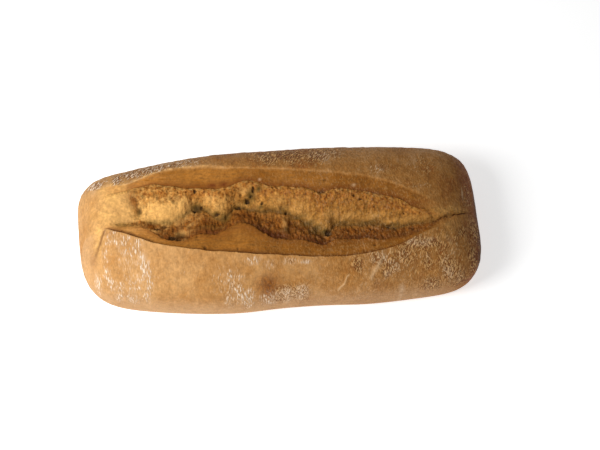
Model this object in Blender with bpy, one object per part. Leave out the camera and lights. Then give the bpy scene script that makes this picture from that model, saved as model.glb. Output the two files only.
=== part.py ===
"""Ciabatta: one loaf of bread, a low dome on a flat base, with a long score torn open along its crown.

Metres, +Z up. The loaf lies along X, its front flank faces -Y, and the origin is under its middle, at
the base. A lattice is laid over the dome: its columns cross the loaf and its rows run along it. Some rows
follow the lines of the score, so that its lips, its torn edges and its deepest line are true edges of the
mesh.
"""

import math

import bmesh
import bpy
from mathutils import Vector, noise

MM = 0.001

# The dome, before the score opens it
LENGTH = 291 * MM
WIDTH = 118.5 * MM
CROWN = 66 * MM
EQUATOR = 24 * MM  # height at which the loaf is widest
END_CAP = 49 * MM  # length of each rounded end, seen from above
BASE_SHARE = 0.885  # width of the flat base, over the loaf's width
EQUATOR_SHARE = 0.80  # the widest line's place on the way over the surface from the crown to the base
CORNER_POWER = 4.2  # above 2, so that the corners seen from above are fuller than an ellipse's
DOME_POWER = 2.25
UNDERSIDE_POWER = 2.2
TAPER_LEFT = 0.275
TAPER_RIGHT = 0.14
TAPER_POWER = 2.3
END_DROP = 0.16  # how much lower the dome is at its ends
END_DROP_POWER = 2.2
SKEW_LEFT = 0.083  # the left end is cut askew: its back reaches this much further, for each unit across
SKEW_STRETCH = (0.3, 0.9)  # the skew sets in over this stretch of the half length

# The lines of the score, as knots (x, y) in millimetres from the left end to the right end
FRONT_LIP = (
    (-122, -5), (-100, -15.5), (-84, -22), (-46, -30), (8, -36.5), (45, -38.5), (81, -33),
    (95, -26.5), (112, -20), (129, -10.5), (138, -6.5),
)
FRONT_TEAR = (
    (-122, -3), (-95, -7), (-84, -14), (-72, -19), (-58, -14.5), (-44, -15), (-27, -7.5),
    (-19, -10), (-6, -20), (13, -23), (30, -27.5), (40, -24.5), (79, -26), (95, -24),
    (114, -17), (138, -6),
)
DEEPEST = (
    (-122, -1), (-104, 0), (-92, 1), (-81, -3), (-68, 4), (-56, 10), (-41, -1), (-29, 7),
    (-8, 3), (8, -1), (26, -12), (33, -17), (39, -11), (62, -10.5), (80, -15.5), (104, -15.5),
    (121, -12), (138, -6),
)
BACK_TEAR = (
    (-122, 21), (-113, 23), (-88, 28), (-74, 25), (-48, 21), (-36, 20.5), (-21, 24.5),
    (-5, 19), (16, 16), (24, 13), (31, 8), (41, 12), (62, 9), (85, 2), (97, -6), (118, -8),
    (138, -5.5),
)
BACK_LIP = (
    (-122, 29), (-106, 28.5), (-89, 36), (-68, 40), (-50, 39), (-30, 35), (7, 31), (42, 25),
    (67, 19), (85, 12), (99, 4), (113, -4), (138, -5),
)

# How far the surface lies below a straight chord from lip to lip, as knots (x, depth) in millimetres
STEP_DEPTH = ((-124, 2.6), (-100, 3), (50, 2.8), (85, 2), (112, 1.4), (128, 0.3), (138, 0))
DEEP_DEPTH = (
    (-124, 3.4), (-95, 8), (-40, 12), (50, 12), (85, 9), (105, 5), (122, 2.4), (134, 1.4),
    (141, 0),
)
CREASE_DEPTH = ((-124, 1), (-95, 3), (60, 3), (90, 1.8), (110, 0.6), (130, 0))

LIP_CURL = 0.9 * MM  # height to which the crust curls up at the front lip
LIP_CURL_REACH = 7 * MM
LIP_WALL = 1.0 * MM  # width of the wall under the front lip, seen from above
BAND_FALL = 2.0 * MM  # fall of the smooth front band, from the lip's wall to its torn edge
LEDGE_FALL = 1.8 * MM
LEDGE_WALL = 1.6 * MM
CREST_DEPTH = 1.3 * MM  # the torn crumb's crest lies this far under the chord
CREST_WALL = 2.0 * MM  # width of the crest's back side, where it turns down into the crease
TEAR_LUMP = 1.0 * MM
TEAR_LUMP_SIZE = 6 * MM
CRUST_SWELL = 0.7 * MM
CRUST_SWELL_SIZE = 30 * MM

# Clefts that run down the torn crumb: (x, width, depth) in millimetres
CLEFTS = ((-101, 5, 2.0), (-58, 5, 3.2), (-20, 10, 2.4), (31, 5, 1.6), (90, 7, 1.0))

# The left end of the front crust is a flap, whose edge turns down the flank from the corner of the lip
FLAP_CORNER_X = -122 * MM
FLAP_EDGE_LEAN = 0.40  # how far the edge moves to the left for each unit down the flank
FLAP_STEP = 1.5 * MM
FLAP_STEP_WIDTH = 2.5 * MM
LEFT_END_FADE = (-127 * MM, -110 * MM)  # the score's floor rises to the bare left end over this stretch
BARE_END_FRONT = (-28 * MM, -12 * MM)  # the bare end's sunken part begins here, across the loaf, and
BARE_END_BACK = (10 * MM, 32 * MM)  # ends here

# Shallow dents in the flanks: (x, half width, depth) in millimetres, and the side, -1 in front and 1 behind
DENTS = ((14, 36, 2.5, -1), (-116, 13, 1.8, 1))
DENT_POWER = 3  # above 2, so that a dent has a broad floor
DENT_STRETCH = (0.3 * WIDTH, 0.5 * WIDTH)  # the dents set in over this stretch of the way from the middle

# The lattice: its strips of rows, from the front edge of the base to the back edge
ROWS = {
    "front flank": 13,
    "lip wall": 1,
    "front band": 3,
    "ledge": 1,
    "front tear": 5,
    "back tear": 9,
    "crest": 1,
    "back band": 4,
    "back flank": 11,
}
COLUMNS = 104
END_CAP_COLUMNS = 0.38  # share of the columns that lies on the two end caps
END_SPREAD = (0.5, 0.9)  # on the way down an end cap the rows leave the score's lines over this stretch
LEAST_ROW_GAP = 0.004  # the rows' places across a column, from -1 to 1, stay this far apart
LINE_SEARCH_STEPS = 24

CRUST_COLOUR = (0.40, 0.21, 0.075, 1.0)
CRUST_ROUGHNESS = 0.72


def mix(start, end, share):
    """The value at a share of the way from start to end."""
    return start + (end - start) * share


def ease(value, start, end):
    """0 before start, 1 after end, and smooth between them."""
    share = min(max((value - start) / (end - start), 0.0), 1.0)
    return share * share * (3 - 2 * share)


def knot_value(knots, x):
    """Height at x, in metres, of the smooth curve through knots that are given in millimetres."""
    at = x / MM
    if at <= knots[0][0]:
        return knots[0][1] * MM
    if at >= knots[-1][0]:
        return knots[-1][1] * MM
    i = next(n for n in range(len(knots) - 1) if at < knots[n + 1][0])
    (x0, y0), (x1, y1) = knots[max(i - 1, 0)], knots[i]
    (x2, y2), (x3, y3) = knots[i + 1], knots[min(i + 2, len(knots) - 1)]
    span = x2 - x1
    t = (at - x1) / span
    rise_in = (y2 - y0) / (x2 - x0) * span
    rise_out = (y3 - y1) / (x3 - x1) * span
    smooth = mix(y1, y2, t * t * (3 - 2 * t))
    return (smooth + rise_in * t * (1 - t) ** 2 - rise_out * t * t * (1 - t)) * MM


def section(q):
    """Reach from the crown line, as a share of the half width, and height, at a share q of the way down."""
    if q < EQUATOR_SHARE:
        angle = q / EQUATOR_SHARE * math.pi / 2
        reach = math.sin(angle) ** (2 / DOME_POWER)
        return reach, mix(EQUATOR, CROWN, math.cos(angle) ** (2 / DOME_POWER))
    angle = min((q - EQUATOR_SHARE) / (1 - EQUATOR_SHARE), 1.0) * math.pi / 2
    reach = mix(BASE_SHARE, 1.0, max(math.cos(angle), 0.0) ** (2 / UNDERSIDE_POWER))
    return reach, EQUATOR * (1 - math.sin(angle) ** (2 / UNDERSIDE_POWER))


def way_down_end(u):
    """How far column u lies on the way down its end cap: 0 at the cap's start, 1 at the base."""
    return max((abs(u) - 1) / END_CAP_COLUMNS + 1, 0.0)


def dome_point(u, w):
    """Point of the unscored dome: u from -1 to 1 is the place along the loaf, w the place across it."""
    end = way_down_end(u)
    along = min(abs(u) / (1 - END_CAP_COLUMNS), 1.0) * (LENGTH / 2 - END_CAP)
    reach, height = section(max(end, abs(w)))
    around = max((end**CORNER_POWER + abs(w) ** CORNER_POWER) ** (1 / CORNER_POWER), 1e-9)
    x = math.copysign(along + END_CAP * reach * end / around, u)
    share = abs(x) / (LENGTH / 2)
    taper = TAPER_LEFT if x < 0 else TAPER_RIGHT
    y = WIDTH / 2 * reach * w / around * (1 - taper * share**TAPER_POWER)
    if x < 0:
        x -= SKEW_LEFT * y * ease(share, *SKEW_STRETCH)
    return Vector((x, y, height * (1 - END_DROP * share**END_DROP_POWER)))


def place_on_line(u, line):
    """The place w across column u where the dome meets a line of the score."""
    low, high = -1.0, 1.0
    for _ in range(LINE_SEARCH_STEPS):
        w = (low + high) / 2
        point = dome_point(u, w)
        if point.y < line(point.x):
            low = w
        else:
            high = w
    return (low + high) / 2


def strip_borders():
    """The lines between the strips, from front to back, as functions of x."""
    return (
        lambda x: knot_value(FRONT_LIP, x),
        lambda x: knot_value(FRONT_LIP, x) + LIP_WALL,
        lambda x: knot_value(FRONT_TEAR, x),
        lambda x: knot_value(FRONT_TEAR, x) + LEDGE_WALL,
        lambda x: knot_value(DEEPEST, x),
        lambda x: knot_value(BACK_TEAR, x) - CREST_WALL,
        lambda x: knot_value(BACK_TEAR, x),
        lambda x: knot_value(BACK_LIP, x),
    )


def border_places(u):
    """The places w where column u crosses the base, the strips' borders and the base again, in order."""
    places = [-1.0] + [place_on_line(u, line) for line in strip_borders()] + [1.0]
    spread = ease(way_down_end(u), *END_SPREAD)
    counts = list(ROWS.values())
    for i in range(1, len(counts)):
        even = 2 * sum(counts[:i]) / sum(counts) - 1
        places[i] = mix(max(places[i], places[i - 1] + LEAST_ROW_GAP), even, spread)
    for i in range(len(counts) - 1, 0, -1):
        places[i] = min(places[i], places[i + 1] - LEAST_ROW_GAP)
    return places


def opening(x):
    """How far open the score is: 1 in the loaf's middle, 0 where it has closed."""
    return knot_value(DEEP_DEPTH, x) / knot_value(DEEP_DEPTH, 0.0)


def bare_end_height(x, y):
    """Height, over the dome, of the bare left end: it lies lower than the crust round it."""
    inside = ease(y, *BARE_END_FRONT) * (1 - ease(y, *BARE_END_BACK))
    return -FLAP_STEP * inside * (1 - ease(x, *LEFT_END_FADE))


def front_crust_height(x, y, lip_y):
    """Height, over the dome, of the crust in front of the score, which curls up at its lip."""
    curl = LIP_CURL * opening(x) * math.exp(-(lip_y - y) / LIP_CURL_REACH)
    flap_edge = FLAP_CORNER_X - FLAP_EDGE_LEAN * (lip_y - y)
    beyond_flap = ease(flap_edge - x, -FLAP_STEP_WIDTH / 2, FLAP_STEP_WIDTH / 2)
    return mix(curl, bare_end_height(x, y), beyond_flap)


def depth_in_score(strip, share, x):
    """Depth under the straight chord from lip to lip."""
    step = knot_value(STEP_DEPTH, x)
    deep = knot_value(DEEP_DEPTH, x)
    crease = knot_value(CREASE_DEPTH, x)
    torn_edge = step + BAND_FALL * opening(x)
    foot = torn_edge + LEDGE_FALL * opening(x)
    crest = CREST_DEPTH * opening(x)
    if strip == "front band":
        return mix(step, torn_edge, share)
    if strip == "ledge":
        return mix(torn_edge, foot, share)
    if strip == "front tear":
        return mix(foot, deep, ease(share, 0, 1))
    if strip == "back tear":
        return mix(deep, crest, math.sin(share * math.pi / 2))
    if strip == "crest":
        return mix(crest, crease, share)
    return crease * (1 - share)


def tear_relief(strip, share, x, y):
    """Height of the torn crumb's lumps, less its clefts."""
    if strip == "front tear":
        return math.sin(share * math.pi / 2) * lumps(x, y)
    if strip != "back tear":
        return 0.0
    clefts = sum(depth * MM * math.exp(-(((x / MM - at) / width) ** 2)) for at, width, depth in CLEFTS)
    return math.sin(share * math.pi) * (lumps(x, y) - clefts)


def lumps(x, y):
    """Height of the lumps that a tear leaves in the crumb."""
    place = Vector((x, y, 0.0)) / TEAR_LUMP_SIZE
    return TEAR_LUMP * (noise.noise(place) + 0.5 * noise.noise(2 * place))


def score_height(strip, share, point, front, back):
    """Height, over the dome, of the score's floor between its lips' points on the dome, front and back."""
    chord = mix(front.z, back.z, (point.y - front.y) / (back.y - front.y))
    floor = chord - depth_in_score(strip, share, point.x) + tear_relief(strip, share, point.x, point.y)
    bare = bare_end_height(point.x, point.y)
    return mix(bare, floor - point.z, ease(point.x, *LEFT_END_FADE))


def relief_height(strip, share, point, front, back):
    """Height of the finished surface over the dome."""
    if strip == "back flank":
        return bare_end_height(point.x, point.y)
    if strip == "front flank":
        return front_crust_height(point.x, point.y, front.y)
    if strip == "lip wall":
        crust = front_crust_height(point.x, point.y, front.y)
        return mix(crust, score_height("front band", 0.0, point, front, back), share)
    return score_height(strip, share, point, front, back)


def crust_swell(point):
    """Shift of the crust out or in, in slow uneven swells that leave the base flat."""
    outward = Vector((point.x * WIDTH / LENGTH, point.y, point.z)).normalized()
    return outward * CRUST_SWELL * noise.noise(point / CRUST_SWELL_SIZE)


def flank_dents(point):
    """Shift of the flanks, inwards, in their dents."""
    shift = Vector((0.0, 0.0, 0.0))
    for x, width, depth, side in DENTS:
        reach = ease(side * point.y, *DENT_STRETCH)
        shift.y -= side * depth * MM * reach * math.exp(-(abs(point.x / MM - x) / width) ** DENT_POWER)
    return shift


def loaf_point(u, strip, share, places):
    """Point of the finished surface at a share of the way across one strip of column u."""
    border = list(ROWS).index(strip)
    point = dome_point(u, mix(places[border], places[border + 1], share))
    front, back = dome_point(u, places[1]), dome_point(u, places[-2])
    off_base = ease(point.z, 0.0, EQUATOR)
    point.z += relief_height(strip, share, point, front, back) * off_base
    return point + crust_swell(point) * off_base + flank_dents(point)


def lay_lattice(bm):
    """Lays the vertices of a grid over the loaf."""
    rows = [(strip, step / count) for strip, count in ROWS.items() for step in range(count)]
    rows.append(("back flank", 1.0))
    steps = len(rows) - 1
    bmesh.ops.create_grid(bm, x_segments=COLUMNS, y_segments=steps, size=1.0)
    places = [border_places(2 * column / COLUMNS - 1) for column in range(COLUMNS + 1)]
    for vertex in bm.verts:
        column = round((vertex.co.x + 1) / 2 * COLUMNS)
        strip, share = rows[round((vertex.co.y + 1) / 2 * steps)]
        vertex.co = loaf_point(2 * column / COLUMNS - 1, strip, share, places[column])


def close_base(bm):
    """Closes the loaf with one flat face to rest on."""
    rim = [edge for edge in bm.edges if edge.is_boundary]
    for vertex in {vertex for edge in rim for vertex in edge.verts}:
        vertex.co.z = 0.0
    bmesh.ops.contextual_create(bm, geom=rim)
    bmesh.ops.recalc_face_normals(bm, faces=bm.faces)


def centre_over_origin(bm):
    """Moves the loaf so that its box stands centred on the origin."""
    low = [min(vertex.co[axis] for vertex in bm.verts) for axis in (0, 1)]
    high = [max(vertex.co[axis] for vertex in bm.verts) for axis in (0, 1)]
    middle = Vector(((low[0] + high[0]) / 2, (low[1] + high[1]) / 2, 0.0))
    bmesh.ops.translate(bm, verts=bm.verts, vec=-middle)


def crust_material():
    """Baked crust: matt golden brown."""
    material = bpy.data.materials.new("crust")
    material.use_nodes = True
    shader = material.node_tree.nodes["Principled BSDF"]
    shader.inputs["Base Color"].default_value = CRUST_COLOUR
    shader.inputs["Roughness"].default_value = CRUST_ROUGHNESS
    shader.inputs["Metallic"].default_value = 0.0
    return material


def build_loaf():
    """Builds the loaf as one closed body."""
    bm = bmesh.new()
    lay_lattice(bm)
    close_base(bm)
    centre_over_origin(bm)
    bmesh.ops.triangulate(bm, faces=[face for face in bm.faces if len(face.verts) == 4])
    mesh = bpy.data.meshes.new("loaf")
    bm.to_mesh(mesh)
    bm.free()
    mesh.materials.append(crust_material())
    mesh.shade_smooth()
    loaf = bpy.data.objects.new("loaf", mesh)
    bpy.context.scene.collection.objects.link(loaf)


def main():
    """Clears the scene and builds the loaf."""
    for stale in list(bpy.data.objects):
        bpy.data.objects.remove(stale)
    build_loaf()


main()
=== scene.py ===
"""Dresses the ciabatta: one baked loaf with a torn score, on a pale studio floor.

The loaf is laid out as its solid is, in the same frame: a low dome, a score torn open along its crown, a
flap of crust at the left end of the score and a shallow dent low on each flank. On that form this script
adds what a baker would see: the stretched bands along the lips, the torn crumb with its fibres and holes,
burnt edges and flour. It also paints light and shade into the colour: painted highlights on folds, rims,
the crest and crinkles, painted shade in the hollows, holes, crease and furrows, under the front lip and
below the ledge, and painted shade that darkens the crust towards its right end, away from the light.
"""

import logging
import math
import random
from collections.abc import Callable
from dataclasses import dataclass, field
from enum import Enum
from typing import ClassVar

import bmesh
import bpy
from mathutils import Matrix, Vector, noise


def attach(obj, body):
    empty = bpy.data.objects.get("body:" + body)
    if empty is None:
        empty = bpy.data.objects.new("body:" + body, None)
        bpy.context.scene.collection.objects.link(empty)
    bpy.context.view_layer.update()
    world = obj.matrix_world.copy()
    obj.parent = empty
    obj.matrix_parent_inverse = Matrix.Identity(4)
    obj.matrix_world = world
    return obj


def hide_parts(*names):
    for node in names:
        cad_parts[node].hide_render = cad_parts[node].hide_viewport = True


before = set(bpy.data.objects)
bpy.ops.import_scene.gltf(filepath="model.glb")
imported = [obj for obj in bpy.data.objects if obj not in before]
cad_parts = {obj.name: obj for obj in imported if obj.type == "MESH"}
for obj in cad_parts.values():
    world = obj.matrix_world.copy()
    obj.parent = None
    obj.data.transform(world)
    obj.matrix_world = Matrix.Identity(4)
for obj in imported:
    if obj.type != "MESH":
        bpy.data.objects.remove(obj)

MM = 0.001
PHOTO_WIDTH = 600
PHOTO_HEIGHT = 450
PATTERN_GAP = 7.31  # distance between two patterns in the noise, in ripples
DOT_CORE = 0.4  # share of a dot's radius where it shows fully
FINER = 0.5  # what the finer of two layers of noise adds to the wider one

Colour = tuple[float, float, float, float]
Span = tuple[float, float]
Triple = tuple[float, float, float]
Knots = tuple[Span, ...]
Places = tuple[tuple[float, ...], ...]
Line = Callable[[float], float]
log = logging.getLogger("ciabatta")


def mix(start: float, end: float, share: float) -> float:
    """Returns the value at a share of the way from start to end."""
    return start + (end - start) * share


def ease(value: float, start: float, end: float) -> float:
    """Returns 0 before start, 1 after end, and a smooth rise between them."""
    share = min(max((value - start) / (end - start), 0.0), 1.0)
    return share * share * (3 - 2 * share)


def bell(distance: float, width: float) -> float:
    """Returns 1 at no distance, falling smoothly to nothing at about twice the width."""
    return math.exp(-((distance / width) ** 2))


def srgb(red: int, green: int, blue: int) -> Colour:
    """Turns a screen colour into the linear one that a shader takes.

    Args:
        red: Red, from 0 to 255.
        green: Green, from 0 to 255.
        blue: Blue, from 0 to 255.

    Returns:
        The linear colour, opaque.
    """
    levels = [channel / 255 for channel in (red, green, blue)]
    linear = [level / 12.92 if level <= 0.04045 else ((level + 0.055) / 1.055) ** 2.4 for level in levels]
    return (linear[0], linear[1], linear[2], 1.0)


def ripple(x: float, y: float, size_x: float, size_y: float, seed: float = 0.0) -> float:
    """Returns smooth noise over the plan, about -0.5 to 0.5.

    Args:
        x: Place along the loaf, in metres.
        y: Place across it, in metres.
        size_x: Size of a ripple along the loaf, in metres.
        size_y: Size of a ripple across it, in metres.
        seed: Picks one pattern among many.

    Returns:
        The noise at that place.
    """
    return noise.noise(Vector((x / size_x, y / size_y, seed * PATTERN_GAP + 0.5)))


def wave(x: float, size: float, seed: float) -> float:
    """Returns smooth noise along the loaf, about -0.5 to 0.5, with ripples of a size in metres."""
    return ripple(x, 0.0, size, 1.0, seed)


@dataclass(frozen=True)
class KnotCurve:
    """A smooth curve over the loaf's length, through knots (x, value) in millimetres."""

    knots: Knots

    def at(self, x: float) -> float:
        """Reads the curve.

        Args:
            x: Place along the loaf, in metres.

        Returns:
            The value there, in metres.
        """
        place = x / MM
        if place <= self.knots[0][0]:
            return self.knots[0][1] * MM
        if place >= self.knots[-1][0]:
            return self.knots[-1][1] * MM
        i = next(n for n in range(len(self.knots) - 1) if place < self.knots[n + 1][0])
        (x0, y0), (x1, y1) = self.knots[max(i - 1, 0)], self.knots[i]
        (x2, y2), (x3, y3) = self.knots[i + 1], self.knots[min(i + 2, len(self.knots) - 1)]
        span = x2 - x1
        t = (place - x1) / span
        rise_in = (y2 - y0) / (x2 - x0) * span
        rise_out = (y3 - y1) / (x3 - x1) * span
        smooth = mix(y1, y2, t * t * (3 - 2 * t))
        return (smooth + rise_in * t * (1 - t) ** 2 - rise_out * t * t * (1 - t)) * MM


@dataclass
class Dome:
    """The loaf before its score opens, with the sizes of its solid."""

    length: float = 291 * MM
    width: float = 118.5 * MM
    crown: float = 66 * MM
    equator: float = 24 * MM
    end_cap: float = 49 * MM
    base_share: float = 0.885
    equator_share: float = 0.80
    corner_power: float = 4.2
    dome_power: float = 2.25
    underside_power: float = 2.2
    taper_left: float = 0.275
    taper_right: float = 0.14
    taper_power: float = 2.3
    end_drop: float = 0.16
    end_drop_power: float = 2.2
    skew_left: float = 0.083
    skew_stretch: tuple[float, float] = (0.3, 0.9)
    cap_columns: float = 0.38

    def section(self, q: float) -> tuple[float, float]:
        """Follows the loaf's cross section.

        Args:
            q: Share of the way down, from the crown line at 0 to the base at 1.

        Returns:
            The reach from the crown line, as a share of the half width, and the height in metres.
        """
        if q < self.equator_share:
            angle = q / self.equator_share * math.pi / 2
            reach = math.sin(angle) ** (2 / self.dome_power)
            return reach, mix(self.equator, self.crown, math.cos(angle) ** (2 / self.dome_power))
        angle = min((q - self.equator_share) / (1 - self.equator_share), 1.0) * math.pi / 2
        reach = mix(self.base_share, 1.0, max(math.cos(angle), 0.0) ** (2 / self.underside_power))
        return reach, self.equator * (1 - math.sin(angle) ** (2 / self.underside_power))

    def way_down_end(self, u: float) -> float:
        """Returns how far column u lies down its end cap: 0 at the cap's start, 1 at the base."""
        return max((abs(u) - 1) / self.cap_columns + 1, 0.0)

    def point(self, u: float, w: float) -> Vector:
        """Places a point of the lattice on the dome.

        Args:
            u: Place along the loaf, from -1 to 1.
            w: Place across it, from -1 at the front edge of the base to 1 at the back edge.

        Returns:
            The point, in metres.
        """
        end = self.way_down_end(u)
        along = min(abs(u) / (1 - self.cap_columns), 1.0) * (self.length / 2 - self.end_cap)
        reach, height = self.section(max(end, abs(w)))
        around = max((end**self.corner_power + abs(w) ** self.corner_power) ** (1 / self.corner_power), 1e-9)
        x = math.copysign(along + self.end_cap * reach * end / around, u)
        share = abs(x) / (self.length / 2)
        taper = self.taper_left if x < 0 else self.taper_right
        y = self.width / 2 * reach * w / around * (1 - taper * share**self.taper_power)
        if x < 0:
            x -= self.skew_left * y * ease(share, *self.skew_stretch)
        return Vector((x, y, height * (1 - self.end_drop * share**self.end_drop_power)))

    def outward(self, point: Vector) -> Vector:
        """Returns the direction that faces away from the loaf's core at a point."""
        return Vector((point.x * self.width / self.length, point.y, point.z)).normalized()


class Strip(Enum):
    """The lattice's strips, from the front edge of the base to the back edge."""

    FRONT_FLANK = "front flank"
    LIP_WALL = "lip wall"
    FRONT_BAND = "front band"
    LEDGE = "ledge"
    FRONT_TEAR = "front tear"
    BACK_TEAR = "back tear"
    CREST = "crest"
    BACK_BAND = "back band"
    BACK_FLANK = "back flank"


@dataclass(frozen=True)
class Spot:
    """A place on the loaf: where it is, its half widths along and across the loaf, all in millimetres."""

    x: float
    y: float
    along: float
    across: float
    amount: float = 1.0
    steep: bool = False
    steep_rim: ClassVar[Span] = (0.1, 1.9)

    def share_at(self, x: float, y: float) -> float:
        """Measures a place against the spot.

        Args:
            x: Place along the loaf, in millimetres.
            y: Place across it, in millimetres.

        Returns:
            How much of the spot is reached there, from 0 to its amount.
        """
        distance = ((x - self.x) / self.along) ** 2 + ((y - self.y) / self.across) ** 2
        if self.steep:
            return self.amount * (1 - ease(distance, *self.steep_rim))
        return self.amount * math.exp(-distance)


class Patchwork:
    """Many spots, sorted into columns so that those near a point are found fast."""

    COLUMN = 6.0
    REACH = 2.2

    def __init__(self, spots: list[Spot]) -> None:
        """Sorts the spots.

        Args:
            spots: All the spots.
        """
        self.columns: dict[int, list[Spot]] = {}
        for spot in spots:
            reach = spot.along * self.REACH
            first = math.floor((spot.x - reach) / self.COLUMN)
            last = math.floor((spot.x + reach) / self.COLUMN)
            for column in range(first, last + 1):
                self.columns.setdefault(column, []).append(spot)

    def at(self, x: float, y: float) -> float:
        """Returns the share of the strongest spot at a place in metres."""
        near = self.columns.get(math.floor(x / MM / self.COLUMN), ())
        return max((spot.share_at(x / MM, y / MM) for spot in near), default=0.0)


@dataclass(frozen=True)
class Fold:
    """A thin raised fold of crust: its ends on the plan, its half width and its height, in millimetres."""

    start: Span
    end: Span
    width: float
    height: float

    def share_at(self, x: float, y: float) -> float:
        """Measures a place against the fold.

        Args:
            x: Place along the loaf, in metres.
            y: Place across it, in metres.

        Returns:
            How much of the fold's height is reached there, from 0 to 1.
        """
        start, end = Vector(self.start), Vector(self.end)
        offset, way = Vector((x / MM, y / MM)) - start, end - start
        along = min(max(offset.dot(way) / way.length_squared, 0.0), 1.0)
        return bell((offset - along * way).length, self.width)


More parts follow.
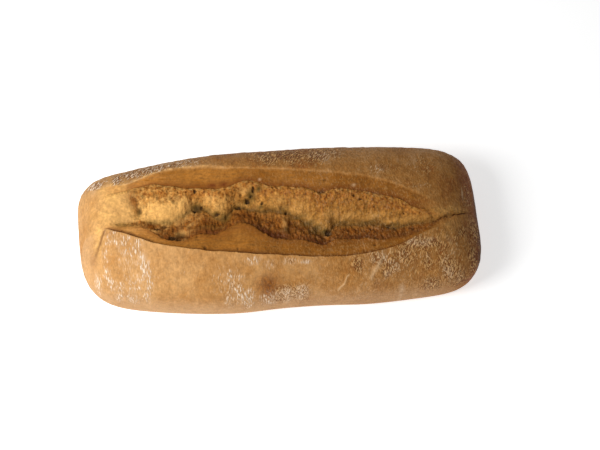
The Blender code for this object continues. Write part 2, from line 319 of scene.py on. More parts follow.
class Patch(Enum):
    """The loaf's patches, by what shows in them.

    A row is a spot: its x and y, its half widths along and across the loaf, its amount, and True if it is
    steep. Places and widths are in millimetres.
    """

    KNOBS = (
        (4, -10, 2.8, 7.5, 2.8), (-50, -7, 9, 4.5, 1.2), (-113, 10, 8, 10, 0.8), (-79, 10, 13, 10, 2.2),
        (-41, 12, 8, 7, 1), (-22, 20, 7, 3, 0.8), (14, 5, 9, 7, 0.9), (50, 0, 10, 7, 1),
        (74, -5, 9, 6, 0.8), (-88, -8, 9, 2, 0.8), (-104, 18, 2.2, 2.2, 1.1), (-99.5, 14, 2, 2.4, 1),
        (-101, 21, 2, 1.6, 0.9), (-97, 18, 2, 2, 0.9), (-103, 12, 1.8, 2, 0.8), (50, -16, 5, 3, 0.8),
        (68, -19, 5, 3, 0.6),
    )
    FLOURY = (
        (-121, -15.5, 1.8, 2.2, 1), (-116, -15.5, 3.5, 2.5, 1.1), (-117, -11, 4, 3, 0.7),
        (-108, -15, 5, 3, 0.8), (-99, -19.5, 4, 3.5, 0.8), (-111, -18.5, 4, 3, 1.2),
        (-110, -23, 4, 4, 0.6), (-101, -24, 2.5, 4, 0.9), (-98, -29, 3, 3, 0.9),
        (-95.5, -33.5, 3.5, 2.5, 1.5), (-96.5, -38, 2.5, 3.5, 1.3), (-92.5, -40, 2, 4, 0.9),
        (-93.5, -46, 2.5, 4, 1.1), (-96, -50, 3, 3, 0.7), (-122.5, -36, 2.5, 4, 1.1),
        (-121, -41, 2, 3, 1.1), (-130, -38, 2.5, 4, 1.3), (-118, -42.5, 2, 2.5, 1),
        (-113, -43.5, 2.5, 2, 1), (-116, -47, 4, 3, 0.9), (-106.5, -50, 7, 3, 0.6),
        (-123, -24, 3, 8, 0.6), (-106, -28, 10, 14, 0.42), (-104, -44, 16, 9, 0.42),
        (-36.5, -46, 3.5, 4, 1), (-36, -51, 3, 4, 1.1), (-32, -54, 4, 4, 1.2), (-30, -48, 3, 3.5, 0.9),
        (-26, -57, 5, 3, 1.2), (-38, -56, 5, 3, 0.9), (-38, -48, 14, 10, 0.42), (-20, -38, 6, 2.6, 0.8),
        (-9, -41, 5, 3.5, 0.6), (5, -40, 7, 3, 0.6), (16, -41, 4, 1.5, 0.9), (1, -57, 6, 3, 1.3),
        (11, -57, 7, 3, 1.1), (-10, -59, 7, 3, 0.9), (52, -44, 4, 4, 0.8), (91, -31, 6, 4, 1),
        (99, -32, 6, 3, 1), (106, -32, 5, 2.5, 0.8), (72, -49, 2.5, 2, 1), (67, -41, 6, 4, 0.6),
        (76, -45, 6, 5, 0.5), (85, -38, 7, 6, 0.5), (101, -41, 3, 6, 0.5), (113, -43, 4, 5, 0.5),
        (117, -47, 4.5, 5, 1), (125, -50, 6, 5, 0.6), (105, -54, 8, 3, 0.5), (128, -23, 5, 5, 0.4),
        (135, -38, 4, 10, 0.6), (138, -18, 4, 12, 0.6),
    )
    WRINKLED = (
        (-130, 33, 6, 5, 0.9), (-114, 34, 4, 5, 1), (-104, 38, 9, 5, 1), (-90, 42, 12, 6, 1),
        (-72, 44, 10, 5, 0.6), (-60, 46, 8, 5, 0.5), (-4, 44, 11, 9, 0.9), (12, 44, 11, 9, 1),
        (30, 43, 11, 9, 1), (43, 44, 6, 7, 0.6), (75, 26, 9, 4, 0.5), (108, 27, 12, 10, 0.3),
        (101, 10, 9, 2, 0.5), (92, -30, 9, 6, 0.7), (118, -36, 12, 14, 0.5), (88, -42, 12, 10, 0.4),
        (70, -36, 10, 7, 0.4), (136, 5, 4, 12, 0.4),
    )
    # Golden crust, partly painted light: the left end, nearest the light, is painted paler and golden.
    GILDED = (
        (-117, 18, 9, 9, 0.9), (-111, 26, 6, 4, 0.7), (-122, 6, 6, 9, 0.9), (-127, -6, 3.5, 8, 0.8),
        (-128, -15, 3, 9, 0.7), (-115, 3, 6, 5, 0.7), (-108, 9, 6, 8, 0.6), (-123, 26, 5, 4, 0.7),
        (-131, 8, 4, 9, 0.4), (-106, -8.5, 8, 3, 0.4), (120, -19, 8, 5, 0.42), (124, -6.5, 8, 2.4, 0.6),
        (115, -9, 7, 3.4, 0.6), (132, -4.5, 4, 1.4, 0.5), (114, -27, 5, 4, 0.3),
    )
    SMUDGED = (
        (-11, -53, 8, 6.5, 1), (-12, -56, 2, 2.5, 0.9), (66, -54, 5, 3, 0.4), (-134, 22, 6, 8, 0.35),
        (-132, -24, 3, 6, 0.4), (-116, -9, 8, 1.6, 0.5), (-24, -0.5, 6.5, 4.5, 0.9),
        (-102, 16, 2.6, 4.5, 0.6), (-100, 9, 1.8, 3.5, 0.5), (-80, -9, 7, 3, 0.8),
    )
    # Whites of flour, and painted highlights such as the white streak on the right end.
    WHITENED = (
        (4, -59, 8, 3, 0.15), (-8, -61, 10, 3, 0.3), (72, -49, 2, 1.5, 1), (83, -56, 2, 1.6, 1),
        (-96, -30, 2.4, 3.5, 0.8), (-95, -38, 2, 3.5, 0.6), (-131, -38, 1.6, 6, 0.7),
        (103.5, -29.8, 4, 1.2, 0.9), (91, -31.6, 3.6, 2.4, 0.45), (99, -32.7, 3, 1.2, 0.6),
        (63, -47.3, 1.6, 2, 0.6), (116.2, -47, 1.6, 1.6, 0.7), (118, -30, 3, 1.4, 0.4),
        (16, -41, 3, 1, 0.8), (-12, 24, 0.9, 0.8, 0.9), (54, 14, 1.4, 0.9, 0.9),
        (132.2, 7.3, 0.7, 4, 4, True), (-131, 30, 2.5, 5, 0.5),
    )
    # Painted shade: olive shade in the hollows of the torn crumb.
    DAMP = (
        (-58, 10, 4.5, 3.5, 1), (-51, 7, 4, 2, 0.7), (-45, 4, 4, 1.6, 0.8), (-38.5, 0.5, 5, 4, 0.85),
        (-19, 14, 3.6, 4, 0.9), (-13, 17.3, 2.6, 2.2, 0.9), (-22, 10.5, 3.6, 2.6, 0.9),
        (-28.5, 7.8, 3, 2, 0.8), (-12.5, 6.3, 3.4, 1.6, 0.8), (3, 3, 4, 2.4, 0.7), (13, -3, 7, 2, 0.8),
        (20, -8, 6, 2.4, 0.9), (26, -12, 5, 3, 0.9), (31, -15, 4, 3, 1), (24, -14.5, 5, 3, 0.8),
        (46, -9, 12, 1.5, 0.7), (62, -10.5, 12, 1.6, 0.8), (81, -14.5, 7, 1.4, 0.8),
        (96, -15, 8, 1.3, 0.6), (-111, -3, 7, 3, 0.6), (-99, 8, 2, 4, 0.8), (-89, 0, 8, 2, 0.55),
        (-80, -1, 7, 2, 0.7), (-73, -15, 4, 2.2, 0.8), (-50, -8, 9, 3, 0.4), (4.5, -14.5, 2.6, 3, 0.5),
    )
    PALED = (
        (-79, 5, 14, 6, 1), (-91, 7, 6, 5, 0.8), (-68, 9, 6, 6, 0.9), (-112, 9, 6, 5, 0.8),
        (-118, 16, 6, 6, 0.4), (-111, 3, 5, 2.5, 1), (-41, 8, 6, 4, 0.4), (-47, 13, 5, 4, 0.4),
        (-23, 18, 5, 2.5, 0.8), (3.6, -8, 2, 4.5, 0.9), (15, 3, 5, 5, 0.35), (0, 9, 4, 5, 0.25),
        (36, -5, 6, 4, 0.5), (49, -6, 9, 2, 0.6), (67, -8, 9, 2, 0.6), (88, -12, 8, 1.6, 0.6),
        (102, -12, 8, 1.6, 0.4), (-88, -8.5, 8, 1.6, 0.7), (-69, -11, 4.5, 2.6, 1),
    )
    SINGED = (
        (-102, 16, 3.5, 5.5, 1), (-104, 21, 3, 3, 0.8), (-100, 0, 5, 2, 0.8), (-91, -3.5, 7, 1.8, 0.9),
        (-63, 17, 5, 4, 0.6), (-85, 24, 14, 3, 0.5), (-33, 15, 7, 6, 0.7),
    )
    # Russet along the crease behind the crest: partly singed, partly painted shade in the crease.
    CREASED = (
        (-39, 22.5, 7, 3, 1), (-46, 22.5, 6, 3, 1), (-54, 22, 6, 2.4, 0.8), (-108, 26, 9, 3, 0.8),
        (-82, 28, 14, 2.2, 0.5), (31, 8, 5, 2.4, 1), (24, 13, 5, 2.2, 0.8), (52, 12, 9, 1.8, 0.6),
        (76, 6, 10, 1.8, 0.6), (94, -3, 10, 2.4, 0.7), (100, -21, 12, 2, 0.8),
        (113, -16.5, 7, 1.6, 0.6), (-8, 21, 8, 2.4, 0.4), (12, 18, 8, 2, 0.4),
    )


@dataclass
class Score:
    """The cut along the crown, which the oven tore open: its lines, its depths and its torn crumb.

    A line's wander holds its pattern and the reaches of its wide bends and of its small teeth.
    """

    front_lip: KnotCurve = KnotCurve(
        (
            (-122, -5), (-100, -15.5), (-84, -22), (-46, -30), (8, -36.5), (45, -38.5),
            (81, -33), (95, -26.5), (112, -20), (129, -10.5), (138, -6.5),
        )
    )
    front_tear: KnotCurve = KnotCurve(
        (
            (-122, -3), (-95, -7), (-84, -14), (-72, -19), (-58, -14.5), (-44, -15),
            (-27, -7.5), (-19, -10), (-6, -20), (13, -23), (30, -27.5), (40, -24.5), (79, -26),
            (95, -24), (114, -17), (138, -6),
        )
    )
    deepest: KnotCurve = KnotCurve(
        (
            (-122, -1), (-104, 0), (-92, 1), (-81, -3), (-68, 4), (-56, 10), (-41, -1),
            (-29, 7), (-8, 3), (8, -1), (26, -12), (33, -17), (39, -11), (62, -10.5),
            (80, -15.5), (104, -15.5), (112, -14.4), (122, -11.2), (133, -6.9), (138, -6),
        )
    )
    back_tear: KnotCurve = KnotCurve(
        (
            (-122, 21), (-113, 23), (-88, 28), (-74, 25), (-48, 21), (-36, 20.5), (-21, 24.5),
            (-5, 19), (16, 16), (24, 13.5), (31, 10.5), (41, 12.5), (62, 9), (85, 2), (97, -6),
            (118, -8), (138, -5.5),
        )
    )
    back_lip: KnotCurve = KnotCurve(
        (
            (-122, 29), (-106, 28.5), (-89, 36), (-68, 40), (-50, 39), (-30, 35), (7, 31),
            (42, 25), (67, 19), (85, 12), (99, 4), (113, -4), (138, -5),
        )
    )
    step_depth: KnotCurve = KnotCurve(
        ((-124, 2.6), (-100, 3), (50, 2.8), (85, 2), (112, 1.4), (128, 0.3), (138, 0))
    )
    deep_depth: KnotCurve = KnotCurve(
        ((-124, 3.4), (-95, 8), (-40, 12), (50, 12), (85, 9), (105, 4.6), (118, 2.2), (130, 0.9), (141, 0))
    )
    crease_depth: KnotCurve = KnotCurve(
        ((-124, 1), (-95, 2.0), (60, 2.0), (90, 1.3), (110, 0.6), (130, 0))
    )
    ledge_shadow: KnotCurve = KnotCurve(
        (
            (-124, 0), (-118, 0.1), (-112, 0.1), (-104, 0.1), (-88, 0.2), (-78, 0.7), (-68, 0.5), (-60, 0.3),
            (-50, 0.8), (-42, 0.5), (-30, 0.2), (-20, 0.5), (-12, 1.0), (0, 1.0), (8, 0.4), (16, 0.5),
            (24, 1.0), (32, 0.8), (40, 0.4), (48, 0.8), (58, 0.7), (70, 0.5), (90, 0.4), (110, 0.2), (120, 0),
        )
    )
    lip_wander: Triple = (1, 0.5 * MM, 0.3 * MM)
    front_tear_wander: Triple = (2, 1.4 * MM, 0.9 * MM)
    deepest_wander: Triple = (3, 1.8 * MM, 1.0 * MM)
    back_tear_wander: Triple = (4, 1.2 * MM, 0.7 * MM)
    back_lip_wander: Triple = (5, 0.9 * MM, 0.5 * MM)
    bend_sizes: Span = (11 * MM, 5 * MM)
    calm_size: float = 14 * MM
    calm_share: Span = (-0.2, 0.3)
    tooth_size: float = 1.8 * MM
    wander_gain: float = 1.1
    torn_gain: float = 1.6
    lip_wall: float = 1.0 * MM
    least_band: float = 3.0 * MM
    band_fall: float = 2.0 * MM
    ledge_fall: float = 1.8 * MM
    ledge_wall: float = 1.6 * MM
    crest_depth: float = 1.4 * MM
    crest_wall: float = 2.6 * MM
    back_step: float = 0.5 * MM
    lump: float = 1.0 * MM
    lump_size: float = 6 * MM
    clefts: tuple[Triple, ...] = ((-101, 5, 1.5), (-58, 5, 3.2), (-20, 10, 2.4), (31, 5, 1.6), (90, 7, 1.0))
    fibre: float = 0.3 * MM
    fibre_size: Span = (1.4 * MM, 4 * MM)
    grain: float = 0.6 * MM
    grain_size: float = 2.7 * MM
    roughening: dict[Strip, Span] = field(
        default_factory=lambda: {
            Strip.LEDGE: (0.9, 0.9),
            Strip.FRONT_TEAR: (2.4, 1.0),
            Strip.BACK_TEAR: (1.4, 0.9),
            Strip.CREST: (1.2, 1.2),
        }
    )
    valley_end: Span = (-112 * MM, -90 * MM)
    calm_end: Span = (90 * MM, 104 * MM)
    tongue_start: Span = (98 * MM, 108 * MM)
    tongue_end: Span = (128 * MM, 139 * MM)
    tongue_front: Span = (-0.4 * MM, 0.5 * MM)
    tongue_back: Span = (0.2 * MM, 2.0 * MM)
    tongue_wander: Span = (0.8 * MM, 1.6 * MM)
    tongue_ripple: float = 2 * MM
    tongue_roughness: float = 0.6
    crack_depth: float = 0.9 * MM
    crack_width: float = 0.55 * MM
    crack_start: Span = (104 * MM, 114 * MM)
    crack_end: Span = (131 * MM, 139 * MM)
    crack_share: float = 0.85
    crack_swell: float = 3 * MM
    crack_jag: float = 1.6 * MM
    crack_jag_sizes: Span = (3.5 * MM, 1.3 * MM)

    def opening(self, x: float) -> float:
        """Returns how far open the score is: 1 in the loaf's middle, 0 where it has closed."""
        return self.deep_depth.at(x) / self.deep_depth.at(0.0)

    def opened(self, x: float, gain: float) -> float:
        """Returns the opening times a gain, but never more than 1."""
        return min(self.opening(x) * gain, 1.0)

    def ragged(self, x: float, seed: float, coarse: float, fine: float) -> float:
        """Makes a torn line wander.

        Args:
            x: Place along the loaf, in metres.
            seed: Picks one pattern among many.
            coarse: Reach of the wide bends, in metres.
            fine: Reach of the small teeth, in metres.

        Returns:
            The line's shift across the loaf, in metres.
        """
        wide, narrow = self.bend_sizes
        wander = wave(x, wide, seed) + FINER * wave(x, narrow, seed + 0.2)
        rough = ease(wave(x, self.calm_size, seed + 0.7), *self.calm_share)
        teeth = rough * wave(x, self.tooth_size, seed + 0.4)
        return (coarse * wander + fine * teeth) * self.opened(x, self.wander_gain)

    def torn_line(self, course: KnotCurve, wander: Triple, shift: float = 0.0) -> Line:
        """Makes a line of the score.

        Args:
            course: Its smooth course.
            wander: How tearing made it wander.
            shift: How far it is moved towards the back, in metres.

        Returns:
            The line's place across the loaf, as a function of x.
        """
        return lambda x: course.at(x) + self.ragged(x, *wander) + shift

    def borders(self) -> tuple[Line, ...]:
        """Returns the lines between the strips, from front to back, as functions of x."""
        return (
            self.torn_line(self.front_lip, self.lip_wander),
            self.torn_line(self.front_lip, self.lip_wander, self.lip_wall),
            self.torn_line(self.front_tear, self.front_tear_wander),
            self.torn_line(self.front_tear, self.front_tear_wander, self.ledge_wall),
            self.deepest_line,
            self.torn_line(self.back_tear, self.back_tear_wander, -self.crest_wall),
            self.torn_line(self.back_tear, self.back_tear_wander),
            self.torn_line(self.back_lip, self.back_lip_wander),
        )

    def deepest_line(self, x: float) -> float:
        """Returns the deepest line's place across the loaf."""
        return self.deepest.at(x) + self.ragged(x, *self.deepest_wander) * (1 - ease(x, *self.calm_end))

    def crack(self, x: float, y: float) -> float:
        """Finds the crack at the right end.

        Args:
            x: Place along the loaf, in metres.
            y: Place across it, in metres.

        Returns:
            How far inside the crack the place is, from 0 to 1.
        """
        open_share = ease(x, *self.crack_start) * (1 - ease(x, *self.crack_end))
        open_share *= self.crack_share + wave(x, self.crack_swell, 11)
        wide, narrow = self.crack_jag_sizes
        jag = self.crack_jag * (wave(x, wide, 14) + FINER * wave(x, narrow, 15))
        return open_share * bell(y - self.deepest_line(x) - jag, self.crack_width) if open_share else 0.0

    def smooth_share(self, strip: Strip, share: float, x: float, y: float) -> float:
        """Measures a place against a band's smooth lines, so that its floor doesn't follow their teeth.

        Args:
            strip: The strip.
            share: Share of the way across it.
            x: Place along the loaf, in metres.
            y: Place across it, in metres.

        Returns:
            Share of the way between the smooth lines in a band, or else the share as given.
        """
        if strip is Strip.FRONT_BAND:
            start, end = self.front_lip.at(x) + self.lip_wall, self.front_tear.at(x)
        elif strip is Strip.BACK_BAND:
            start, end = self.back_tear.at(x), self.back_lip.at(x)
        else:
            return share
        return (y - start) / max(end - start, self.least_band)

    def depth(self, strip: Strip, share: float, x: float) -> float:
        """Follows the score's floor across one strip.

        Args:
            strip: The strip.
            share: Share of the way across it.
            x: Place along the loaf, in metres.

        Returns:
            The depth under the straight chord from lip to lip, in metres.
        """
        step = self.step_depth.at(x)
        deep = self.deep_depth.at(x)
        crease = self.crease_depth.at(x)
        torn_edge = step + self.band_fall * self.opening(x)
        foot = torn_edge + self.ledge_fall * self.opening(x)
        crest = self.crest_depth * self.opening(x)
        if strip is Strip.FRONT_BAND:
            return mix(step, torn_edge, share)
        if strip is Strip.LEDGE:
            return mix(torn_edge, foot, share)
        if strip is Strip.FRONT_TEAR:
            return mix(foot, deep, ease(share, 0, 1))
        if strip is Strip.BACK_TEAR:
            rise = mix(ease(share, 0, 1), math.sin(share * math.pi / 2), ease(x, *self.valley_end))
            return mix(deep, crest, rise)
        if strip is Strip.CREST:
            return mix(crest, crease, share)
        return mix(crease, self.back_step * self.opening(x), share)

    def lumps(self, x: float, y: float) -> float:
        """Returns the height of the lumps that a tear leaves in the crumb, in metres."""
        place = Vector((x, y, 0.0)) / self.lump_size
        return self.lump * (noise.noise(place) + FINER * noise.noise(2 * place))

    def texture(self, strip: Strip, x: float, y: float) -> float:
        """Roughens the torn crumb with fibres and grain.

        Args:
            strip: The strip.
            x: Place along the loaf, in metres.
            y: Place across it, in metres.

        Returns:
            The height over the smooth floor, in metres.
        """
        fibrous, grainy = self.roughening.get(strip, (0.0, 0.0))
        fibres = fibrous * self.fibre * ripple(x, y, *self.fibre_size, 6)
        grains = grainy * self.grain * ripple(x, y, self.grain_size, self.grain_size, 7)
        rough = max(self.opened(x, self.torn_gain), self.tongue_roughness * self.tongue(x, y))
        return (fibres + grains) * rough

    def tongue(self, x: float, y: float) -> float:
        """Finds the thin right end of the crumb, between the crack and the crust behind it.

        Args:
            x: Place along the loaf, in metres.
            y: Place across it, in metres.

        Returns:
            How much of it shows at the place, from 0 to 1.
        """
        along = ease(x, *self.tongue_start) * (1 - ease(x, *self.tongue_end))
        front_wander, back_wander = self.tongue_wander
        uneven = ripple(x, y, self.tongue_ripple, self.tongue_ripple, 16)
        over_crack = ease(y - self.deepest_line(x) + front_wander * uneven, *self.tongue_front)
        under_crust = 1 - ease(y - self.back_tear.at(x) + back_wander * uneven, *self.tongue_back)
        return along * over_crack * under_crust

    def tear_relief(self, strip: Strip, share: float, x: float, y: float) -> float:
        """Lays lumps over the torn crumb and sinks its clefts.

        Args:
            strip: The strip.
            share: Share of the way across it.
            x: Place along the loaf, in metres.
            y: Place across it, in metres.

        Returns:
            The height over the smooth floor, in metres.
        """
        lumps = self.lumps(x, y) * self.opened(x, self.torn_gain) * (1 - ease(x, *self.calm_end))
        if strip is Strip.FRONT_TEAR:
            return math.sin(share * math.pi / 2) * lumps
        if strip is not Strip.BACK_TEAR:
            return 0.0
        clefts = sum(depth * MM * bell(x / MM - at, width) for at, width, depth in self.clefts)
        return math.sin(share * math.pi) * (lumps - clefts)


@dataclass
class Flap:
    """The left end of the front crust, whose edge turns down the flank from the corner of the lip."""

    corner_x: float = -122 * MM
    edge_lean: float = 0.40
    step: float = 1.5 * MM
    step_width: float = 2.5 * MM
    end_fade: Span = (-127 * MM, -110 * MM)
    bare_front: Span = (-28 * MM, -12 * MM)
    bare_back: Span = (10 * MM, 32 * MM)
    curl: float = 0.9 * MM
    curl_reach: float = 7 * MM

    def bare_end(self, x: float, y: float) -> float:
        """Returns how much of the bare left end shows at a place, from 0 to 1."""
        inside = ease(y, *self.bare_front) * (1 - ease(y, *self.bare_back))
        return inside * (1 - ease(x, *self.end_fade))

    def bare_height(self, x: float, y: float) -> float:
        """Returns the height of the bare left end over the dome, in metres."""
        return -self.step * self.bare_end(x, y)

    def beyond(self, x: float, y: float, lip_y: float) -> float:
        """Returns 0 on the flap and 1 to the left of its edge, at a place in metres."""
        return ease(self.edge_distance(x, y, lip_y), -self.step_width / 2, self.step_width / 2)

    def edge_distance(self, x: float, y: float, lip_y: float) -> float:
        """Returns how far a place lies to the left of the flap's edge, in metres."""
        return self.corner_x - self.edge_lean * (lip_y - y) - x

    def height(self, x: float, y: float, lip_y: float, opening: float) -> float:
        """Raises the front crust at its lip and lowers the bare end beside it.

        Args:
            x: Place along the loaf, in metres.
            y: Place across it, in metres.
            lip_y: Place of the front lip, across the loaf.
            opening: How far open the score is, from 0 to 1.

        Returns:
            The height over the dome, in metres.
        """
        curl = self.curl * opening * math.exp(-(lip_y - y) / self.curl_reach)
        return mix(curl, self.bare_height(x, y), self.beyond(x, y, lip_y))


@dataclass
class Marks:
    """What the finish reads at one point of the surface, each from 0 to 1."""

    crumb: float = 0.0
    band: float = 0.0
    rust: float = 0.0
    # painted olive shade in the hollows and along the deepest line of the score
    damp: float = 0.0
    # burnt edges and stains, and painted shade under the front lip, below the ledge, in the crack and on the
    # right end
    scorch: float = 0.0
    # painted shade in the holes, darker where they are deeper, and along the cleft at the deepest line
    pore: float = 0.0
    flour: float = 0.0
    wrinkle: float = 0.0
    # flour whites and the pale haze low on the flanks, and painted highlights on the folds' tops and the back
    # rim
    frost: float = 0.0
    # golden crust, and painted highlights on the folds, the back rim, the seam and the crest
    gold: float = 0.0
    # singed orange-brown crumb and russet bands, and painted shade in the crease behind the crest
    singe: float = 0.0
    pale: float = 0.0
    # browning, with painted shade that darkens the crust towards the right end
    toast: float = 0.0


@dataclass
class Surface:
    """The small things on the loaf: its patches, holes and pores, folds of crust and strands of crumb.

    Holes and pores are measured in millimetres.
    """

    score: Score
    holes: Places = (
        (-58.3, 19.6, 1, 1.8, 2.2), (-55.9, 15.2, 0.7, 0.7, 1.4), (-57, 9, 4, 2.6, 1.5),
        (-59.5, 8, 1.3, 1.2, 2.6), (-54.5, 10, 1.2, 1, 2.4), (-43.4, 3.1, 2.2, 0.8, 2.2),
        (-34.5, 13.7, 0.8, 0.7, 1.2), (-17, 17.7, 0.9, 1.9, 3), (-12.6, 17.1, 1.1, 0.9, 1),
        (-26.2, 14.7, 0.8, 0.8, 1.2), (-18.6, 13.9, 1.2, 0.9, 2.2), (-21.5, 11.3, 1.4, 1.4, 3),
        (-28.6, 7.7, 1.7, 1, 2.2), (-11.4, 8.6, 0.8, 1, 2.4), (-3.2, 17.1, 0.8, 0.7, 1.4),
        (-0.5, 17.1, 0.8, 0.6, 1.4), (1.9, 4.7, 0.9, 0.7, 1.4), (5.2, 1.1, 1.1, 0.9, 2.6),
        (34, -16, 1.8, 2.3, 2.8), (53.4, 6.5, 0.8, 0.9, 1.8), (58, 3.6, 0.9, 0.8, 2),
        (49.2, 4.3, 0.7, 0.7, 1.4), (67, -2.3, 0.9, 1.2, 1.8), (44.2, 11.4, 0.8, 0.6, 1.2),
        (87.7, -8.4, 0.8, 0.7, 1.4), (77, -15, 1.8, 1.3, 2), (93, -19, 1.6, 1.2, 1.6),
        (-75.5, -15, 2.4, 1.7, 2.4), (-71, -17, 1.6, 1.3, 1.6), (-69.5, -12.5, 4.2, 3, 1.4),
        (-86, -7, 2.6, 1.3, 2), (-81, -4, 1.8, 1.1, 1.6), (-100, 16, 1.3, 1.1, 1.2),
        (-103.6, 18, 1.1, 0.9, 1.2), (-99.5, 13.2, 1.1, 0.9, 1.2), (-103, 11, 0.8, 1, 1),
        (-100.8, 21.5, 1.2, 0.8, 1), (-98, 8, 1.4, 2.2, 1.4), (31, 11, 3, 1.1, 1.6),
        (34, 19, 1.2, 0.9, 1.2), (-58, -16, 1.2, 0.9, 1.4), (-53, -25, 1.8, 1.1, 1.6),
        (-30, -28, 1, 0.8, 1.2), (-10, -27, 1, 0.7, 1), (35, -29, 1.4, 0.7, 1), (65, -30, 1, 0.9, 1.4),
        (58, -34, 1.4, 0.7, 1), (-105, -11, 1.3, 0.8, 1), (-120, 10, 0.7, 2, 0.7),
    )
    strands: tuple[Fold, ...] = (
        Fold((-66, -6.5), (-53.5, 3), 1.7, 1.8),
        Fold((-87, -8.5), (-77, -5.5), 0.9, 1.0),
        Fold((-77, -17.5), (-66, -16.5), 1.2, 0.9),
    )
    folds: tuple[Fold, ...] = (
        Fold((70, -39), (61, -51), 1.2, 0.4),
        Fold((67, -39), (60, -47), 0.7, -0.4),
        Fold((44, -51), (42.2, -54.5), 0.4, 0.9),
        Fold((42.2, -54.5), (38, -57), 0.45, 0.9),
        Fold((47, -51), (45, -54), 0.5, -0.8),
        Fold((45.5, -50), (44, -51), 0.4, 0.7),
        Fold((-45, -31), (-42, -36), 0.5, -0.3),
    )
    hole_depth: float = 0.7
    hole_wobble: float = 1.0 * MM
    hole_wobble_size: float = 2.2 * MM
    seed: int = 5
    pore_count: int = 150
    pore_field: Span = (-100, 118)
    last_pore: float = 98
    pore_margin: float = 5
    pore_size: Span = (0.4, 0.85)
    pore_length: Span = (0.8, 1.6)
    pore_depth: Span = (0.6, 1.3)

    def __post_init__(self) -> None:
        """Sorts the patches and the holes, so that those near a point are found fast."""
        self.patchworks = {patch: Patchwork([Spot(*place) for place in patch.value]) for patch in Patch}
        holes = [Spot(*place, steep=True) for place in self.holes]
        self.pits = Patchwork(holes + self.strewn_pores())

    def strewn_pores(self) -> list[Spot]:
        """Returns small pores strewn over the torn crumb, by a seeded draw."""
        draw = random.Random(self.seed)
        pores = []
        for _ in range(self.pore_count):
            x = draw.uniform(*self.pore_field)
            low = self.score.deepest.at(x * MM) / MM - self.pore_margin
            high = self.score.back_tear.at(x * MM) / MM
            y = mix(low, high, draw.random())
            size = draw.uniform(*self.pore_size)
            across = size * draw.uniform(*self.pore_length)
            pore = Spot(x, y, size, across, size * draw.uniform(*self.pore_depth), True)
            if x < self.last_pore:
                pores.append(pore)
        return pores

    def share(self, patch: Patch, x: float, y: float) -> float:
        """Returns how much of a patch shows at a place in metres, about 0 to 1."""
        return self.patchworks[patch].at(x, y)

    def pit_depth(self, point: Vector) -> float:
        """Measures the holes, whose rims are made uneven.

        Args:
            point: A point on the dome.

        Returns:
            Their depth there, in millimetres.
        """
        size = self.hole_wobble_size
        shift_x = self.hole_wobble * ripple(point.x, point.y, size, size, 8)
        shift_y = self.hole_wobble * ripple(point.x, point.y, size, size, 9)
        return self.hole_depth * self.pits.at(point.x + shift_x, point.y + shift_y)

    def fold_height(self, x: float, y: float) -> float:
        """Returns the height that the folds of crust add at a place, in metres."""
        return sum(fold.height * MM * fold.share_at(x, y) for fold in self.folds)

    def fold_share(self, x: float, y: float) -> float:
        """Returns how much of a fold is reached at a place, below 0 in a furrow."""
        return max(fold.share_at(x, y) * math.copysign(1.0, fold.height) for fold in self.folds)

    def strand_height(self, x: float, y: float) -> float:
        """Returns the height that the strands of crumb add at a place, in metres."""
        return max(strand.height * MM * strand.share_at(x, y) for strand in self.strands)

    def strand_share(self, x: float, y: float) -> float:
        """Returns how much of a strand is reached at a place, from 0 to 1."""
        return max(strand.share_at(x, y) for strand in self.strands)


